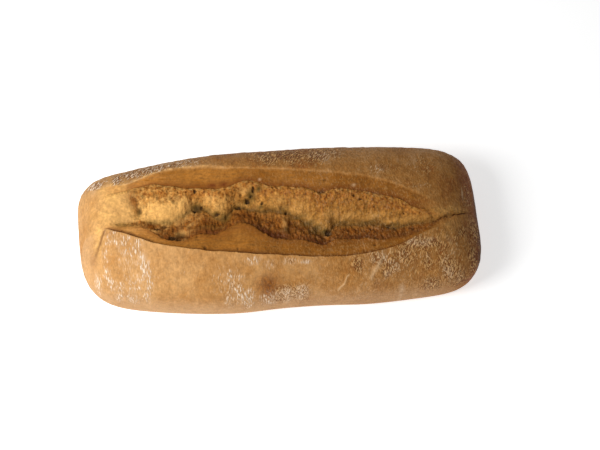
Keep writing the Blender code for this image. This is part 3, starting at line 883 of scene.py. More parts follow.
@dataclass
class OvenAndPaintedLight:
    """What baking did to the loaf, and the light and shade painted on it: it gives each point of the surface
    the marks that its finish reads.

    Amounts are shares from 0 to 1. A span holds the places or heights between which a mark rises or fades.
    """

    dome: Dome
    score: Score
    flap: Flap
    surface: Surface

    # Browning, and painted shade: the crust darkens along the loaf and at its right end, away from the light.
    toast: float = 0.5
    toast_rise: float = 0.35
    end_toast: float = 0.6
    end_toast_start: Span = (124 * MM, 142 * MM)
    # The dark right end: charred, and painted shade on the end wall away from the light.
    char: float = 1.4
    char_size: float = 9 * MM
    char_lean: float = 0.06
    char_start: Span = (139 * MM, 146 * MM)
    char_rise: Span = (0.0, 26 * MM)

    flour: float = 0.12
    right_flour: float = 0.13
    right_flour_start: Span = (20 * MM, 70 * MM)
    patch_flour: float = 0.75
    flour_rise: Span = (10 * MM, 32 * MM)
    wrinkle: float = 0.12
    haze: float = 0.36
    haze_top: Span = (20 * MM, 42 * MM)
    haze_end: Span = (105 * MM, 132 * MM)
    haze_rise: Span = (0.0, 8 * MM)
    left_haze: float = 0.28
    left_haze_end: Span = (-142 * MM, -124 * MM)
    smudge_rise: Span = (14 * MM, 36 * MM)
    # painted highlight along the tops of the raised folds
    fold_gold: float = 0.8
    back_start: Span = (-121 * MM, -117 * MM)
    back_toast: Triple = (0.15, 0.3, 0.5)
    back_toast_start: Span = (-75 * MM, -15 * MM)
    back_toast_end: Span = (10 * MM, 75 * MM)
    rim_gain: float = 2.0
    rim_width: float = 1.1 * MM
    rim_end: Span = (-75 * MM, -35 * MM)
    seam_x: float = -118 * MM
    seam_width: float = 0.9 * MM
    seam_end: Span = (33 * MM, 38 * MM)
    # painted highlight along the back rim and the seam
    rim_gold: Span = (0.6, 1.4)
    rim_gold_size: Span = (5 * MM, 2 * MM)
    rim_frost: float = 0.3
    bare_flour: float = 0.3
    flap_scorch: float = 0.7
    flap_scorch_place: Span = (0.8 * MM, 1.2 * MM)
    flap_scorch_end: Span = (10 * MM, 26 * MM)
    corner_end: Span = (0.0, 4 * MM)

    crumb_end: Span = (100 * MM, 120 * MM)
    band_end: Span = (100 * MM, 122 * MM)
    browning_start: Span = (-112 * MM, -88 * MM)
    # pit depths where the painted shade in a hole starts and where it is full
    pore_depths: Span = (0.15, 1.7)
    strand_pale: float = 0.45
    # Painted olive shade along the deepest line of the score.
    damp: float = 0.55
    damp_reach: Span = (1.6 * MM, 2.6 * MM)
    damp_start: Span = (-98 * MM, -60 * MM)
    # painted shade along the cleft at the deepest line
    cleft_dark: float = 0.45
    cleft_width: float = 0.9 * MM
    cleft_start: Span = (-90 * MM, -55 * MM)
    left_crumb: float = 0.4
    left_crumb_end: Span = (-108 * MM, -100 * MM)
    crest_singe_start: Span = (0.3, 1.0)
    pale_foot: float = 0.35
    pale_foot_place: Span = (0.2, 0.12)
    pale_foot_start: Span = (-10 * MM, 20 * MM)
    front_rust: Span = (0.95, 0.4)
    front_rust_end: Span = (0.55, 1.0)
    rust_on_pale: float = 0.6
    shadow_end: Span = (0.08, 0.38)
    crest_singe: float = 0.7
    # painted glints of light on the crest's lumps
    crest_gold: float = 0.55
    crest_gold_size: Span = (2.2 * MM, 1.8 * MM)
    crest_gold_start: Span = (0.0, 0.25)
    ledge_rust: float = 0.6
    # painted shadow on the ledge where the front band drops to the torn crumb
    ledge_scorch: float = 0.9
    # a dark line along the front lip: burnt, and painted shadow under the lip's overhang
    lip_scorch: float = 0.85
    lip_scorch_start: Span = (0.2, 0.8)
    lip_start: Span = (-125 * MM, -119 * MM)
    lip_end: Span = (82 * MM, 104 * MM)
    crease_places: Span = (0.8, 0.13)
    crease_turn: Span = (-122 * MM, -92 * MM)
    band_rust: float = 0.05
    band_rust_place: float = 0.3
    band_singe: float = 0.5
    band_singe_width: float = 0.25
    back_band_top: Span = (0.8, 1.0)
    back_band_end: Span = (92 * MM, 112 * MM)
    # russet at the foot of the back band: partly singed, partly painted shade in the crease
    back_singe: float = 0.75
    back_singe_width: float = 0.2
    smudge_scorch: float = 0.4

    def toast_at(self, x: float) -> float:
        """Returns how much the crust is browned along the loaf, about 0 to 1: more towards its right end,
        partly browning and partly painted shade, away from the light.
        """
        along = self.toast + self.toast_rise * x / (self.dome.length / 2)
        return along + self.end_toast * ease(x, *self.end_toast_start)

    def char_at(self, point: Vector) -> float:
        """Finds the dark right end: partly charred, partly painted shade on the end wall away from the light.

        Args:
            point: A point on the dome.

        Returns:
            How dark it is there, from 0 to 1: baked dark, and painted shade.
        """
        patchy = self.char + noise.noise(point / self.char_size)
        beyond = ease(point.x - self.char_lean * point.y, *self.char_start)
        return min(patchy * beyond * ease(point.z, *self.char_rise), 1.0)

    def crust_marks(self, strip: Strip, point: Vector, front_y: float, back_y: float) -> Marks:
        """Marks one point of the flanks for the finish.

        Args:
            strip: The flank that the point is in.
            point: The point on the dome.
            front_y: Place of the front lip in the same column.
            back_y: Place of the back lip in the same column.

        Returns:
            The marks.
        """
        x, y = point.x, point.y
        marks = Marks(toast=self.toast_at(x))
        marks.flour = self.flour + self.right_flour * ease(x, *self.right_flour_start)
        marks.flour += self.patch_flour * self.surface.share(Patch.FLOURY, x, y)
        marks.flour *= ease(point.z, *self.flour_rise)
        marks.wrinkle = mix(self.wrinkle, 1.0, self.surface.share(Patch.WRINKLED, x, y))
        haze = self.haze * (1 - ease(point.z, *self.haze_top)) * (1 - ease(x, *self.haze_end))
        haze = max(haze, self.left_haze * (1 - ease(x, *self.left_haze_end))) * ease(point.z, *self.haze_rise)
        marks.rust = self.surface.share(Patch.SMUDGED, x, y) * ease(point.z, *self.smudge_rise)
        # Painted highlight along the tops of the raised folds.
        marks.gold = self.fold_gold * max(self.surface.fold_share(x, y), 0.0)
        # Flour whites and the low haze, and painted highlights on the folds' tops.
        marks.frost = max(self.surface.share(Patch.WHITENED, x, y), haze, marks.gold)
        if strip is Strip.BACK_FLANK:
            self.mark_back_flank(marks, x, y, back_y)
        else:
            self.mark_front_flank(marks, x, y, front_y)
        return marks

    def mark_back_flank(self, marks: Marks, x: float, y: float, back_y: float) -> None:
        """Browns the back flank, and paints a highlight along its rim and seam.

        Args:
            marks: The marks to change.
            x: Place along the loaf, in metres.
            y: Place across it, in metres.
            back_y: Place of the back lip in the same column.
        """
        base, middle, right = self.back_toast
        browning = base + middle * ease(x, *self.back_toast_start) - right * ease(x, *self.back_toast_end)
        marks.toast += browning * ease(x, *self.back_start)
        marks.crumb = self.score.tongue(x, y)
        # Painted highlight along the back lip, and along the seam near the left end.
        rim = bell(y - back_y, self.rim_width) * self.score.opened(x, self.rim_gain)
        rim *= 1 - ease(x, *self.rim_end)
        seam = bell(x - self.seam_x, self.seam_width) * (1 - ease(y, *self.seam_end))
        least, swing = self.rim_gold
        rim_glint = least + swing * ripple(x, y, *self.rim_gold_size, 12)
        marks.gold = max(marks.gold, max(rim, seam) * rim_glint)
        marks.frost = self.rim_frost * max(marks.frost, rim)

    def mark_front_flank(self, marks: Marks, x: float, y: float, front_y: float) -> None:
        """Bares the crust beyond the flap and scorches the flap's edge.

        Args:
            marks: The marks to change.
            x: Place along the loaf, in metres.
            y: Place across it, in metres.
            front_y: Place of the front lip in the same column.
        """
        marks.flour *= 1 - self.bare_flour * self.flap.beyond(x, y, front_y)
        place, width = self.flap_scorch_place
        marks.scorch = self.flap_scorch * bell(self.flap.edge_distance(x, y, front_y) - place, width)
        marks.scorch *= 1 - ease(front_y - y, *self.flap_scorch_end)
        marks.scorch *= 1 - ease(y - front_y, *self.corner_end)

    def score_marks(self, strip: Strip, share: float, point: Vector) -> Marks:
        """Marks one point inside the score for the finish.

        Args:
            strip: The strip that the point is in.
            share: Share of the way across it.
            point: The point on the dome.

        Returns:
            The marks.
        """
        x, y = point.x, point.y
        opening = self.score.opened(x, self.score.torn_gain)
        marks = Marks(toast=self.toast_at(x))
        fade = self.crumb_fade(x)
        marks.frost = self.surface.share(Patch.WHITENED, x, y)
        pale_strand = self.strand_pale * self.surface.strand_share(x, y)
        marks.pale = max(self.surface.share(Patch.PALED, x, y), pale_strand)
        off_deepest = y - self.score.deepest_line(x)
        # Painted olive shade along the deepest line and in the hollows.
        front_reach, back_reach = self.damp_reach
        line = bell(off_deepest, back_reach if off_deepest > 0 else front_reach)
        damp = self.damp * line * opening * ease(x, *self.damp_start)
        marks.damp = max(damp, self.surface.share(Patch.DAMP, x, y)) * fade
        # Painted shade in the holes and along the cleft at the deepest line.
        cleft = bell(off_deepest, self.cleft_width) * opening * ease(x, *self.cleft_start)
        marks.pore = max(ease(self.surface.pit_depth(point), *self.pore_depths), self.cleft_dark * cleft)
        if strip in (Strip.LIP_WALL, Strip.FRONT_BAND, Strip.BACK_BAND):
            self.mark_band(marks, strip, share, x, y)
        else:
            self.mark_crumb(marks, strip, share, x, y)
        tongue = self.score.tongue(x, y)
        marks.crumb = max(marks.crumb, tongue)
        marks.band *= 1 - tongue
        smudge = self.surface.share(Patch.SMUDGED, x, y) * fade
        marks.rust = max(marks.rust * (1 - tongue), smudge)
        marks.scorch = max(marks.scorch, self.smudge_scorch * smudge)
        return marks

    def crumb_fade(self, x: float) -> float:
        """Returns how much of the score's look a place has: 0 beyond its ends and 1 between them."""
        return ease(x, *self.flap.end_fade) * (1 - ease(x, *self.crumb_end))

    def mark_crumb(self, marks: Marks, strip: Strip, share: float, x: float, y: float) -> None:
        """Marks the torn crumb and the ledge that leads down to it.

        Args:
            marks: The marks to change.
            strip: The strip.
            share: Share of the way across it.
            x: Place along the loaf, in metres.
            y: Place across it, in metres.
        """
        fade = self.crumb_fade(x)
        browned = ease(x, *self.browning_start)
        shadow = max(self.score.ledge_shadow.at(x) / MM, 0.0)
        marks.crumb = fade
        if strip is Strip.BACK_TEAR:
            marks.crumb *= mix(self.left_crumb, 1.0, ease(x, *self.left_crumb_end))
            singed = self.surface.share(Patch.SINGED, x, y)
            marks.singe = max(ease(share, *self.crest_singe_start) * browned, singed)
            place, width = self.pale_foot_place
            foot = self.pale_foot * bell(share - place, width) * ease(x, *self.pale_foot_start)
            marks.pale = max(marks.pale, foot)
        elif strip is Strip.FRONT_TEAR:
            whole, fall = self.front_rust
            rust = whole - fall * ease(share, *self.front_rust_end)
            marks.rust = rust * browned * fade * (1 - self.rust_on_pale * marks.pale)
            marks.singe = self.surface.share(Patch.SINGED, x, y)
            # Painted shadow at the foot of the ledge.
            marks.scorch = shadow * (1 - ease(share, *self.shadow_end))
        elif strip is Strip.CREST:
            marks.band = fade
            marks.singe = self.crest_singe * browned
            # Painted glints of light on the crest's lumps.
            glints = ease(ripple(x, y, *self.crest_gold_size, 13), *self.crest_gold_start)
            marks.gold = self.crest_gold * glints * self.score.opened(x, self.score.torn_gain)
        else:
            marks.crumb *= share
            marks.band = self.front_band_fade(x)
            marks.rust = self.ledge_rust * browned * fade
            # Painted shadow on the ledge.
            marks.scorch = self.ledge_scorch * shadow * share

    def front_band_fade(self, x: float) -> float:
        """Returns how much of the front band's look a place along the loaf has, from 0 to 1."""
        return ease(x, *self.flap.end_fade) * (1 - ease(x, *self.band_end))

    def mark_band(self, marks: Marks, strip: Strip, share: float, x: float, y: float) -> None:
        """Marks the stretched bands along the lips.

        Args:
            marks: The marks to change.
            strip: The strip.
            share: Share of the way across it.
            x: Place along the loaf, in metres.
            y: Place across it, in metres.
        """
        left_fade = ease(x, *self.flap.end_fade)
        browned = ease(x, *self.browning_start)
        # A dark line along the front lip: burnt, and painted shadow under the lip's overhang.
        creased = self.lip_scorch * ease(x, *self.lip_start) * (1 - ease(x, *self.lip_end))
        if strip is Strip.LIP_WALL:
            marks.band = share * left_fade
            marks.scorch = ease(share, *self.lip_scorch_start) * creased
        elif strip is Strip.FRONT_BAND:
            marks.band = self.front_band_fade(x)
            crease = mix(*self.crease_places, ease(x, *self.crease_turn))
            marks.scorch = bell(share, crease) * creased
            marks.rust = self.band_rust * bell(share, self.band_rust_place) * browned
            marks.singe = self.band_singe * bell(1 - share, self.band_singe_width) * browned
        else:
            band = (1 - ease(share, *self.back_band_top)) * (1 - ease(x, *self.back_band_end))
            marks.band = self.crumb_fade(x) * band
            # Russet along the crease: partly singed, partly painted shade in the crease.
            opening = self.score.opened(x, self.score.torn_gain)
            foot = self.back_singe * bell(share, self.back_singe_width) * opening
            marks.singe = max(foot, self.surface.share(Patch.CREASED, x, y)) * left_fade


@dataclass
class Column:
    """One column of the lattice: its place along the loaf, its borders' places and its lips' points."""

    u: float
    places: list[float]
    front: Vector
    back: Vector


@dataclass
class Loaf:
    """The whole loaf: one closed mesh with the marks that its finish reads."""

    dome: Dome = field(default_factory=Dome)
    score: Score = field(default_factory=Score)
    flap: Flap = field(default_factory=Flap)
    columns: int = 560
    rows: dict[Strip, int] = field(
        default_factory=lambda: {
            Strip.FRONT_FLANK: 44,
            Strip.LIP_WALL: 2,
            Strip.FRONT_BAND: 11,
            Strip.LEDGE: 3,
            Strip.FRONT_TEAR: 27,
            Strip.BACK_TEAR: 40,
            Strip.CREST: 4,
            Strip.BACK_BAND: 14,
            Strip.BACK_FLANK: 30,
        }
    )
    end_spread: Span = (0.5, 0.9)
    lips_close: Span = (80 * MM, 92 * MM)
    least_row_gap: float = 0.0005
    line_halvings: int = 22
    flank_crowding: float = 1.35
    swell: float = 0.7 * MM
    swell_size: float = 30 * MM
    wrinkle: float = 0.35 * MM
    wrinkle_size: float = 4 * MM
    wrinkle_in_score: float = 0.3
    pale_smoothness: float = 0.75
    # painted shade in the crack at the right end
    crack_scorch: float = 0.95
    dents: tuple[tuple[float, float, float, int], ...] = ((14, 36, 2.5, -1), (-116, 13, 1.8, 1))
    dent_power: float = 3
    dent_stretch: Span = (0.3, 0.5)

    def __post_init__(self) -> None:
        """Sets out the surface, and the marks of baking and of painted light and shade on it."""
        self.surface = Surface(self.score)
        self.oven = OvenAndPaintedLight(self.dome, self.score, self.flap, self.surface)

    def column_at(self, u: float) -> Column:
        """Sets out one column, with its lips at their smooth places except where the score closes.

        Args:
            u: The column's place along the loaf, from -1 to 1.

        Returns:
            The column.
        """
        places = self.border_places(u)
        closing = ease(u * self.dome.length / 2, *self.lips_close)
        front = mix(self.place_on_line(u, self.score.front_lip.at), places[1], closing)
        back = mix(self.place_on_line(u, self.score.back_lip.at), places[-2], closing)
        return Column(u, places, self.dome.point(u, front), self.dome.point(u, back))

    def border_places(self, u: float) -> list[float]:
        """Finds where a column crosses the strips' borders.

        Args:
            u: The column's place along the loaf, from -1 to 1.

        Returns:
            The places across the column, from -1 to 1, in order.
        """
        places = [-1.0] + [self.place_on_line(u, line) for line in self.score.borders()] + [1.0]
        spread = ease(self.dome.way_down_end(u), *self.end_spread)
        counts = list(self.rows.values())
        for i in range(1, len(counts)):
            even = 2 * sum(counts[:i]) / sum(counts) - 1
            least = places[i - 1] + self.least_row_gap * counts[i - 1]
            places[i] = mix(max(places[i], least), even, spread)
        for i in range(len(counts) - 1, 0, -1):
            places[i] = min(places[i], places[i + 1] - self.least_row_gap)
        return places

    def place_on_line(self, u: float, line: Line) -> float:
        """Finds where a column meets a line of the score.

        Args:
            u: The column's place along the loaf, from -1 to 1.
            line: The line's place across the loaf, as a function of x.

        Returns:
            The place across the column, from -1 to 1.
        """
        low, high = -1.0, 1.0
        for _ in range(self.line_halvings):
            w = (low + high) / 2
            point = self.dome.point(u, w)
            if point.y < line(point.x):
                low = w
            else:
                high = w
        return (low + high) / 2

    def score_height(self, strip: Strip, share: float, point: Vector, column: Column) -> float:
        """Opens the score under one point of the dome.

        Args:
            strip: The strip that the point is in.
            share: Share of the way across it.
            point: The point on the dome.
            column: The column that the point is in.

        Returns:
            The height over the dome, in metres.
        """
        front, back = column.front, column.back
        chord = mix(front.z, back.z, (point.y - front.y) / (back.y - front.y))
        rough = self.score.tear_relief(strip, share, point.x, point.y)
        smooth = self.score.smooth_share(strip, share, point.x, point.y)
        floor = chord - self.score.depth(strip, min(max(smooth, 0.0), 1.0), point.x) + rough
        bare = self.flap.bare_height(point.x, point.y)
        return mix(bare, floor - point.z, ease(point.x, *self.flap.end_fade))

    def relief_height(self, strip: Strip, share: float, point: Vector, column: Column) -> float:
        """Gives the surface's height over the dome, without its texture.

        Args:
            strip: The strip that the point is in.
            share: Share of the way across it.
            point: The point on the dome.
            column: The column that the point is in.

        Returns:
            The height, in metres.
        """
        if strip is Strip.BACK_FLANK:
            return self.flap.bare_height(point.x, point.y)
        if strip not in (Strip.FRONT_FLANK, Strip.LIP_WALL):
            return self.score_height(strip, share, point, column)
        crust = self.flap.height(point.x, point.y, column.front.y, self.score.opening(point.x))
        if strip is Strip.FRONT_FLANK:
            return crust
        return mix(crust, self.score_height(Strip.FRONT_BAND, 0.0, point, column), share)

    def dent_shift(self, point: Vector) -> Vector:
        """Pushes the flanks in at their dents.

        Args:
            point: A point on the dome.

        Returns:
            How far the point is pushed, in metres.
        """
        shift = Vector((0.0, 0.0, 0.0))
        for x, width, depth, side in self.dents:
            reach = ease(side * point.y / self.dome.width, *self.dent_stretch)
            along = math.exp(-(abs(point.x / MM - x) / width) ** self.dent_power)
            shift.y -= side * depth * MM * reach * along
        return shift

    def finished_point(self, column: Column, strip: Strip, share: float) -> tuple[Vector, Marks]:
        """Makes one point of the finished surface.

        Args:
            column: The column that the point is in.
            strip: The strip that the point is in.
            share: Share of the way across it.

        Returns:
            The point, in metres, and its marks.
        """
        border = list(Strip).index(strip)
        place = mix(column.places[border], column.places[border + 1], self.crowded(strip, share))
        point = self.dome.point(column.u, place)
        x, y = point.x, point.y
        off_base = ease(point.z, 0.0, self.dome.equator)
        crust = strip in (Strip.FRONT_FLANK, Strip.BACK_FLANK)
        crack = self.score.crack(x, y)
        height = self.relief_height(strip, share, point, column) - self.score.crack_depth * crack
        if crust:
            marks = self.oven.crust_marks(strip, point, column.front.y, column.back.y)
            height += self.surface.fold_height(x, y)
        else:
            marks = self.oven.score_marks(strip, share, point)
            knobs = self.surface.share(Patch.KNOBS, x, y) * marks.crumb
            height += (knobs - self.surface.pit_depth(point)) * MM + self.surface.strand_height(x, y)
            height += self.score.texture(strip, x, y) * (1 - self.pale_smoothness * marks.pale)
        # Painted shade in the crack, and the dark right end: charred, and painted shade.
        marks.scorch = max(marks.scorch, self.crack_scorch * crack, self.oven.char_at(point))
        # Golden patches, partly painted light at the lit left end.
        marks.gold = max(self.surface.share(Patch.GILDED, x, y), marks.gold)
        point.z += height * off_base
        swell = self.swell * noise.noise(point / self.swell_size)
        wrinkles = self.wrinkle * noise.noise(point / self.wrinkle_size)
        wrinkles *= 1.0 if crust else self.wrinkle_in_score
        point += self.dome.outward(point) * (swell + wrinkles) * off_base
        return point + self.dent_shift(point), marks

    def crowded(self, strip: Strip, share: float) -> float:
        """Crowds the flanks' rows at the lips.

        Args:
            strip: The strip.
            share: A row's share of the way across it, if the rows were even.

        Returns:
            The row's true share of the way across.
        """
        if strip is Strip.FRONT_FLANK:
            return 1 - (1 - share) ** self.flank_crowding
        if strip is Strip.BACK_FLANK:
            return share**self.flank_crowding
        return share

    def build(self) -> bpy.types.Object:
        """Builds the loaf.

        Returns:
            The loaf's object, its mesh in place and its marks stored on the mesh.
        """
        bm = bmesh.new()
        layers = {name: bm.verts.layers.float.new(name) for name in Marks.__dataclass_fields__}
        self.lay_lattice(bm, layers)
        self.close_base(bm)
        self.centre_over_origin(bm)
        mesh = bpy.data.meshes.new("ciabatta_loaf")
        bm.to_mesh(mesh)
        bm.free()
        loaf = bpy.data.objects.new("ciabatta_loaf", mesh)
        bpy.context.scene.collection.objects.link(loaf)
        return loaf

    def lay_lattice(self, bm: bmesh.types.BMesh, layers: dict) -> None:
        """Lays the vertices of a grid over the loaf and marks them.

        Args:
            bm: The mesh to fill.
            layers: The mesh's layer for each mark.
        """
        rows = [(strip, step / count) for strip, count in self.rows.items() for step in range(count)]
        rows.append((Strip.BACK_FLANK, 1.0))
        steps = len(rows) - 1
        bmesh.ops.create_grid(bm, x_segments=self.columns, y_segments=steps, size=1.0)
        columns = [self.column_at(2 * step / self.columns - 1) for step in range(self.columns + 1)]
        for vertex in bm.verts:
            column = columns[round((vertex.co.x + 1) / 2 * self.columns)]
            strip, share = rows[round((vertex.co.y + 1) / 2 * steps)]
            vertex.co, marks = self.finished_point(column, strip, share)
            for name, layer in layers.items():
                vertex[layer] = getattr(marks, name)

    def close_base(self, bm: bmesh.types.BMesh) -> None:
        """Closes the loaf with one flat face to rest on.

        Args:
            bm: The loaf's mesh.
        """
        rim = [edge for edge in bm.edges if edge.is_boundary]
        for vertex in {vertex for edge in rim for vertex in edge.verts}:
            vertex.co.z = 0.0
        for face in bm.faces:
            face.smooth = True
        bmesh.ops.contextual_create(bm, geom=rim)
        bmesh.ops.recalc_face_normals(bm, faces=bm.faces)

    def centre_over_origin(self, bm: bmesh.types.BMesh) -> None:
        """Moves the loaf so that its box stands centred on the origin, as its solid does.

        Args:
            bm: The loaf's mesh.
        """
        low = [min(vertex.co[axis] for vertex in bm.verts) for axis in (0, 1)]
        high = [max(vertex.co[axis] for vertex in bm.verts) for axis in (0, 1)]
        middle = Vector(((low[0] + high[0]) / 2, (low[1] + high[1]) / 2, 0.0))
        bmesh.ops.translate(bm, verts=bm.verts, vec=-middle)


class Value:
    """A shader socket that carries a number and can be used in arithmetic, which adds Math nodes."""

    def __init__(self, graph: "ShaderGraph", socket: bpy.types.NodeSocket) -> None:
        """Wraps a socket.

        Args:
            graph: The graph that the socket is in.
            socket: The output socket.
        """
        self.graph = graph
        self.socket = socket

    def __add__(self, other: "Value | float") -> "Value":
        """Returns the sum."""
        return self.graph.math("ADD", self, other)

    def __sub__(self, other: "Value | float") -> "Value":
        """Returns the difference."""
        return self.graph.math("SUBTRACT", self, other)

    def __rsub__(self, other: float) -> "Value":
        """Returns a number less this value."""
        return self.graph.math("SUBTRACT", other, self)

    def __mul__(self, other: "Value | float") -> "Value":
        """Returns the product."""
        return self.graph.math("MULTIPLY", self, other)

    __radd__ = __add__
    __rmul__ = __mul__

    def larger(self, other: "Value | float") -> "Value":
        """Returns the larger of two values."""
        return self.graph.math("MAXIMUM", self, other)

    def ease(self, start: float, end: float) -> "Value":
        """Maps this value to 0 before start and 1 after end, with a smooth rise between them.

        Args:
            start: Where the rise starts.
            end: Where it ends.

        Returns:
            The mapped value.
        """
        settings = {"interpolation_type": "SMOOTHSTEP"}
        sockets = {"Value": self, "From Min": start, "From Max": end}
        return Value(self.graph, self.graph.node("ShaderNodeMapRange", settings, sockets).outputs["Result"])


class ShaderGraph:
    """The nodes of one material."""

    def __init__(self, name: str) -> None:
        """Starts a material with its Principled shader.

        Args:
            name: The material's name.
        """
        self.material = bpy.data.materials.new(name)
        self.material.use_nodes = True
        self.tree = self.material.node_tree
        self.shader = self.tree.nodes["Principled BSDF"]
        self.place = self.node("ShaderNodeTexCoord", {}, {}).outputs["Object"]

    def node(self, kind: str, settings: dict, sockets: dict) -> bpy.types.ShaderNode:
        """Adds a node.

        Args:
            kind: The node's type name.
            settings: The node's own properties, set first.
            sockets: Values or links of its input sockets, by name or number.

        Returns:
            The node.
        """
        node = self.tree.nodes.new(kind)
        for name, setting in settings.items():
            setattr(node, name, setting)
        for name, value in sockets.items():
            self.feed(node.inputs[name], value)
        return node

    def feed(self, socket: bpy.types.NodeSocket, value: object) -> None:
        """Links a value's socket to an input, or sets the input.

        Args:
            socket: The input socket.
            value: A Value, an output socket or a constant.
        """
        if isinstance(value, Value):
            value = value.socket
        if isinstance(value, bpy.types.NodeSocket):
            self.tree.links.new(value, socket)
        else:
            socket.default_value = value

    def math(self, operation: str, first: "Value | float", second: "Value | float") -> Value:
        """Adds a Math node.

        Args:
            operation: The node's operation.
            first: The first value.
            second: The second value.

        Returns:
            The node's result.
        """
        node = self.node("ShaderNodeMath", {"operation": operation}, {0: first, 1: second})
        return Value(self, node.outputs[0])

    def mark(self, name: str) -> Value:
        """Returns a mark that is stored on the mesh."""
        return Value(self, self.node("ShaderNodeAttribute", {"attribute_name": name}, {}).outputs["Fac"])

    def noise(
        self,
        size: float,
        stretch: Triple = (1, 1, 1),
        detail: float = 3,
        turn: float = 0.0,
        warp: float = 0.0,
    ) -> Value:
        """Adds noise over the piece.

        Args:
            size: Size of its largest features, in metres.
            stretch: How much longer the features are along X, Y and Z.
            detail: Number of finer layers.
            turn: Turn of the stretch about Z, in degrees.
            warp: How much the features are bent.

        Returns:
            The noise, about 0.25 to 0.75.
        """
        scale = tuple(1 / (size * length) for length in stretch)
        sockets = {"Vector": self.place, "Rotation": (0.0, 0.0, math.radians(turn))}
        turned = self.node("ShaderNodeMapping", {}, sockets).outputs[0]
        mapping = self.node("ShaderNodeMapping", {}, {"Vector": turned, "Scale": scale})
        sockets = {"Vector": mapping.outputs[0], "Scale": 1.0, "Detail": detail, "Distortion": warp}
        return Value(self, self.node("ShaderNodeTexNoise", {}, sockets).outputs["Fac"])

    def dots(self, size: float, spread: float) -> Value:
        """Strews soft round dots over the piece.

        Args:
            size: Distance between neighbouring dots, in metres.
            spread: A dot's radius, as a share of that distance.

        Returns:
            1 in the middle of a dot and 0 between the dots.
        """
        sockets = {"Vector": self.place, "Scale": 1 / size}
        away = Value(self, self.node("ShaderNodeTexVoronoi", {}, sockets).outputs["Distance"])
        return 1 - away.ease(spread * DOT_CORE, spread)

    def mix(self, share: "Value | float", first: object, second: object) -> bpy.types.NodeSocket:
        """Mixes two colours.

        Args:
            share: How much of the second colour shows.
            first: A colour or a colour's socket.
            second: A colour or a colour's socket.

        Returns:
            The mixed colour's socket.
        """
        settings = {"data_type": "RGBA", "clamp_factor": True}
        node = self.node("ShaderNodeMix", settings, {"Factor": share, 6: first, 7: second})
        return node.outputs[2]

    def shade(self, colour: object, factor: Value) -> bpy.types.NodeSocket:
        """Darkens or lightens a colour.

        Args:
            colour: A colour or a colour's socket.
            factor: What it is multiplied by.

        Returns:
            The colour's socket.
        """
        if isinstance(colour, tuple):
            colour = colour[:3]
        sockets = {0: colour, "Scale": factor}
        return self.node("ShaderNodeVectorMath", {"operation": "SCALE"}, sockets).outputs[0]

    def bump(self, height: Value, distance: float, strength: float) -> None:
        """Roughens the shader's surface.

        Args:
            height: The height, from 0 to 1.
            distance: What a height of 1 stands for, in metres.
            strength: Strength of the bump.
        """
        sockets = {"Height": height, "Distance": distance, "Strength": strength}
        self.feed(self.shader.inputs["Normal"], self.node("ShaderNodeBump", {}, sockets).outputs[0])


class Grain(Enum):
    """The noises of the bread's finish: what ShaderGraph.noise takes, in its order."""

    BROAD = (26 * MM, (1, 1, 1), 2)
    BLOTCH = (7 * MM,)
    FINE = (1.5 * MM,)
    MOTTLE = (3.4 * MM, (1, 1, 1), 4)
    STREAK = (1.3 * MM, (1, 4, 4))
    GRAIN = (1.3 * MM, (7, 1, 1), 3, 4)
    DOWN = (0.85 * MM, (1, 4.0, 4.0), 1)
    SLANT = (0.9 * MM, (1, 3.4, 3.4), 1, 32)
    CRAWL = (1.05 * MM, (1, 2.2, 2.2), 1, -10, 0.9)


@dataclass(frozen=True)
class Film:
    """A thin layer, which shows where its mark is: as much as a noise times a slope, plus an even share."""

    mark: str
    noise: str
    slope: float
    even: float


class Blend:
    """A weighted sum of marks and noises."""

    def __init__(self, **weights: float) -> None:
        """Keeps the weights.

        Args:
            weights: The weight of each mark or noise, by its name.
        """
        self.weights = weights


class Rise(Blend):
    """A share that rises smoothly from 0 to 1 between two levels of a blend."""

    def __init__(self, start: float, end: float, **weights: float) -> None:
        """Keeps the levels and the weights.

        Args:
            start: The level where the rise starts.
            end: The level where it ends.
            weights: The weight of each mark or noise, by its name.
        """
        super().__init__(**weights)
        self.levels = (start, end)


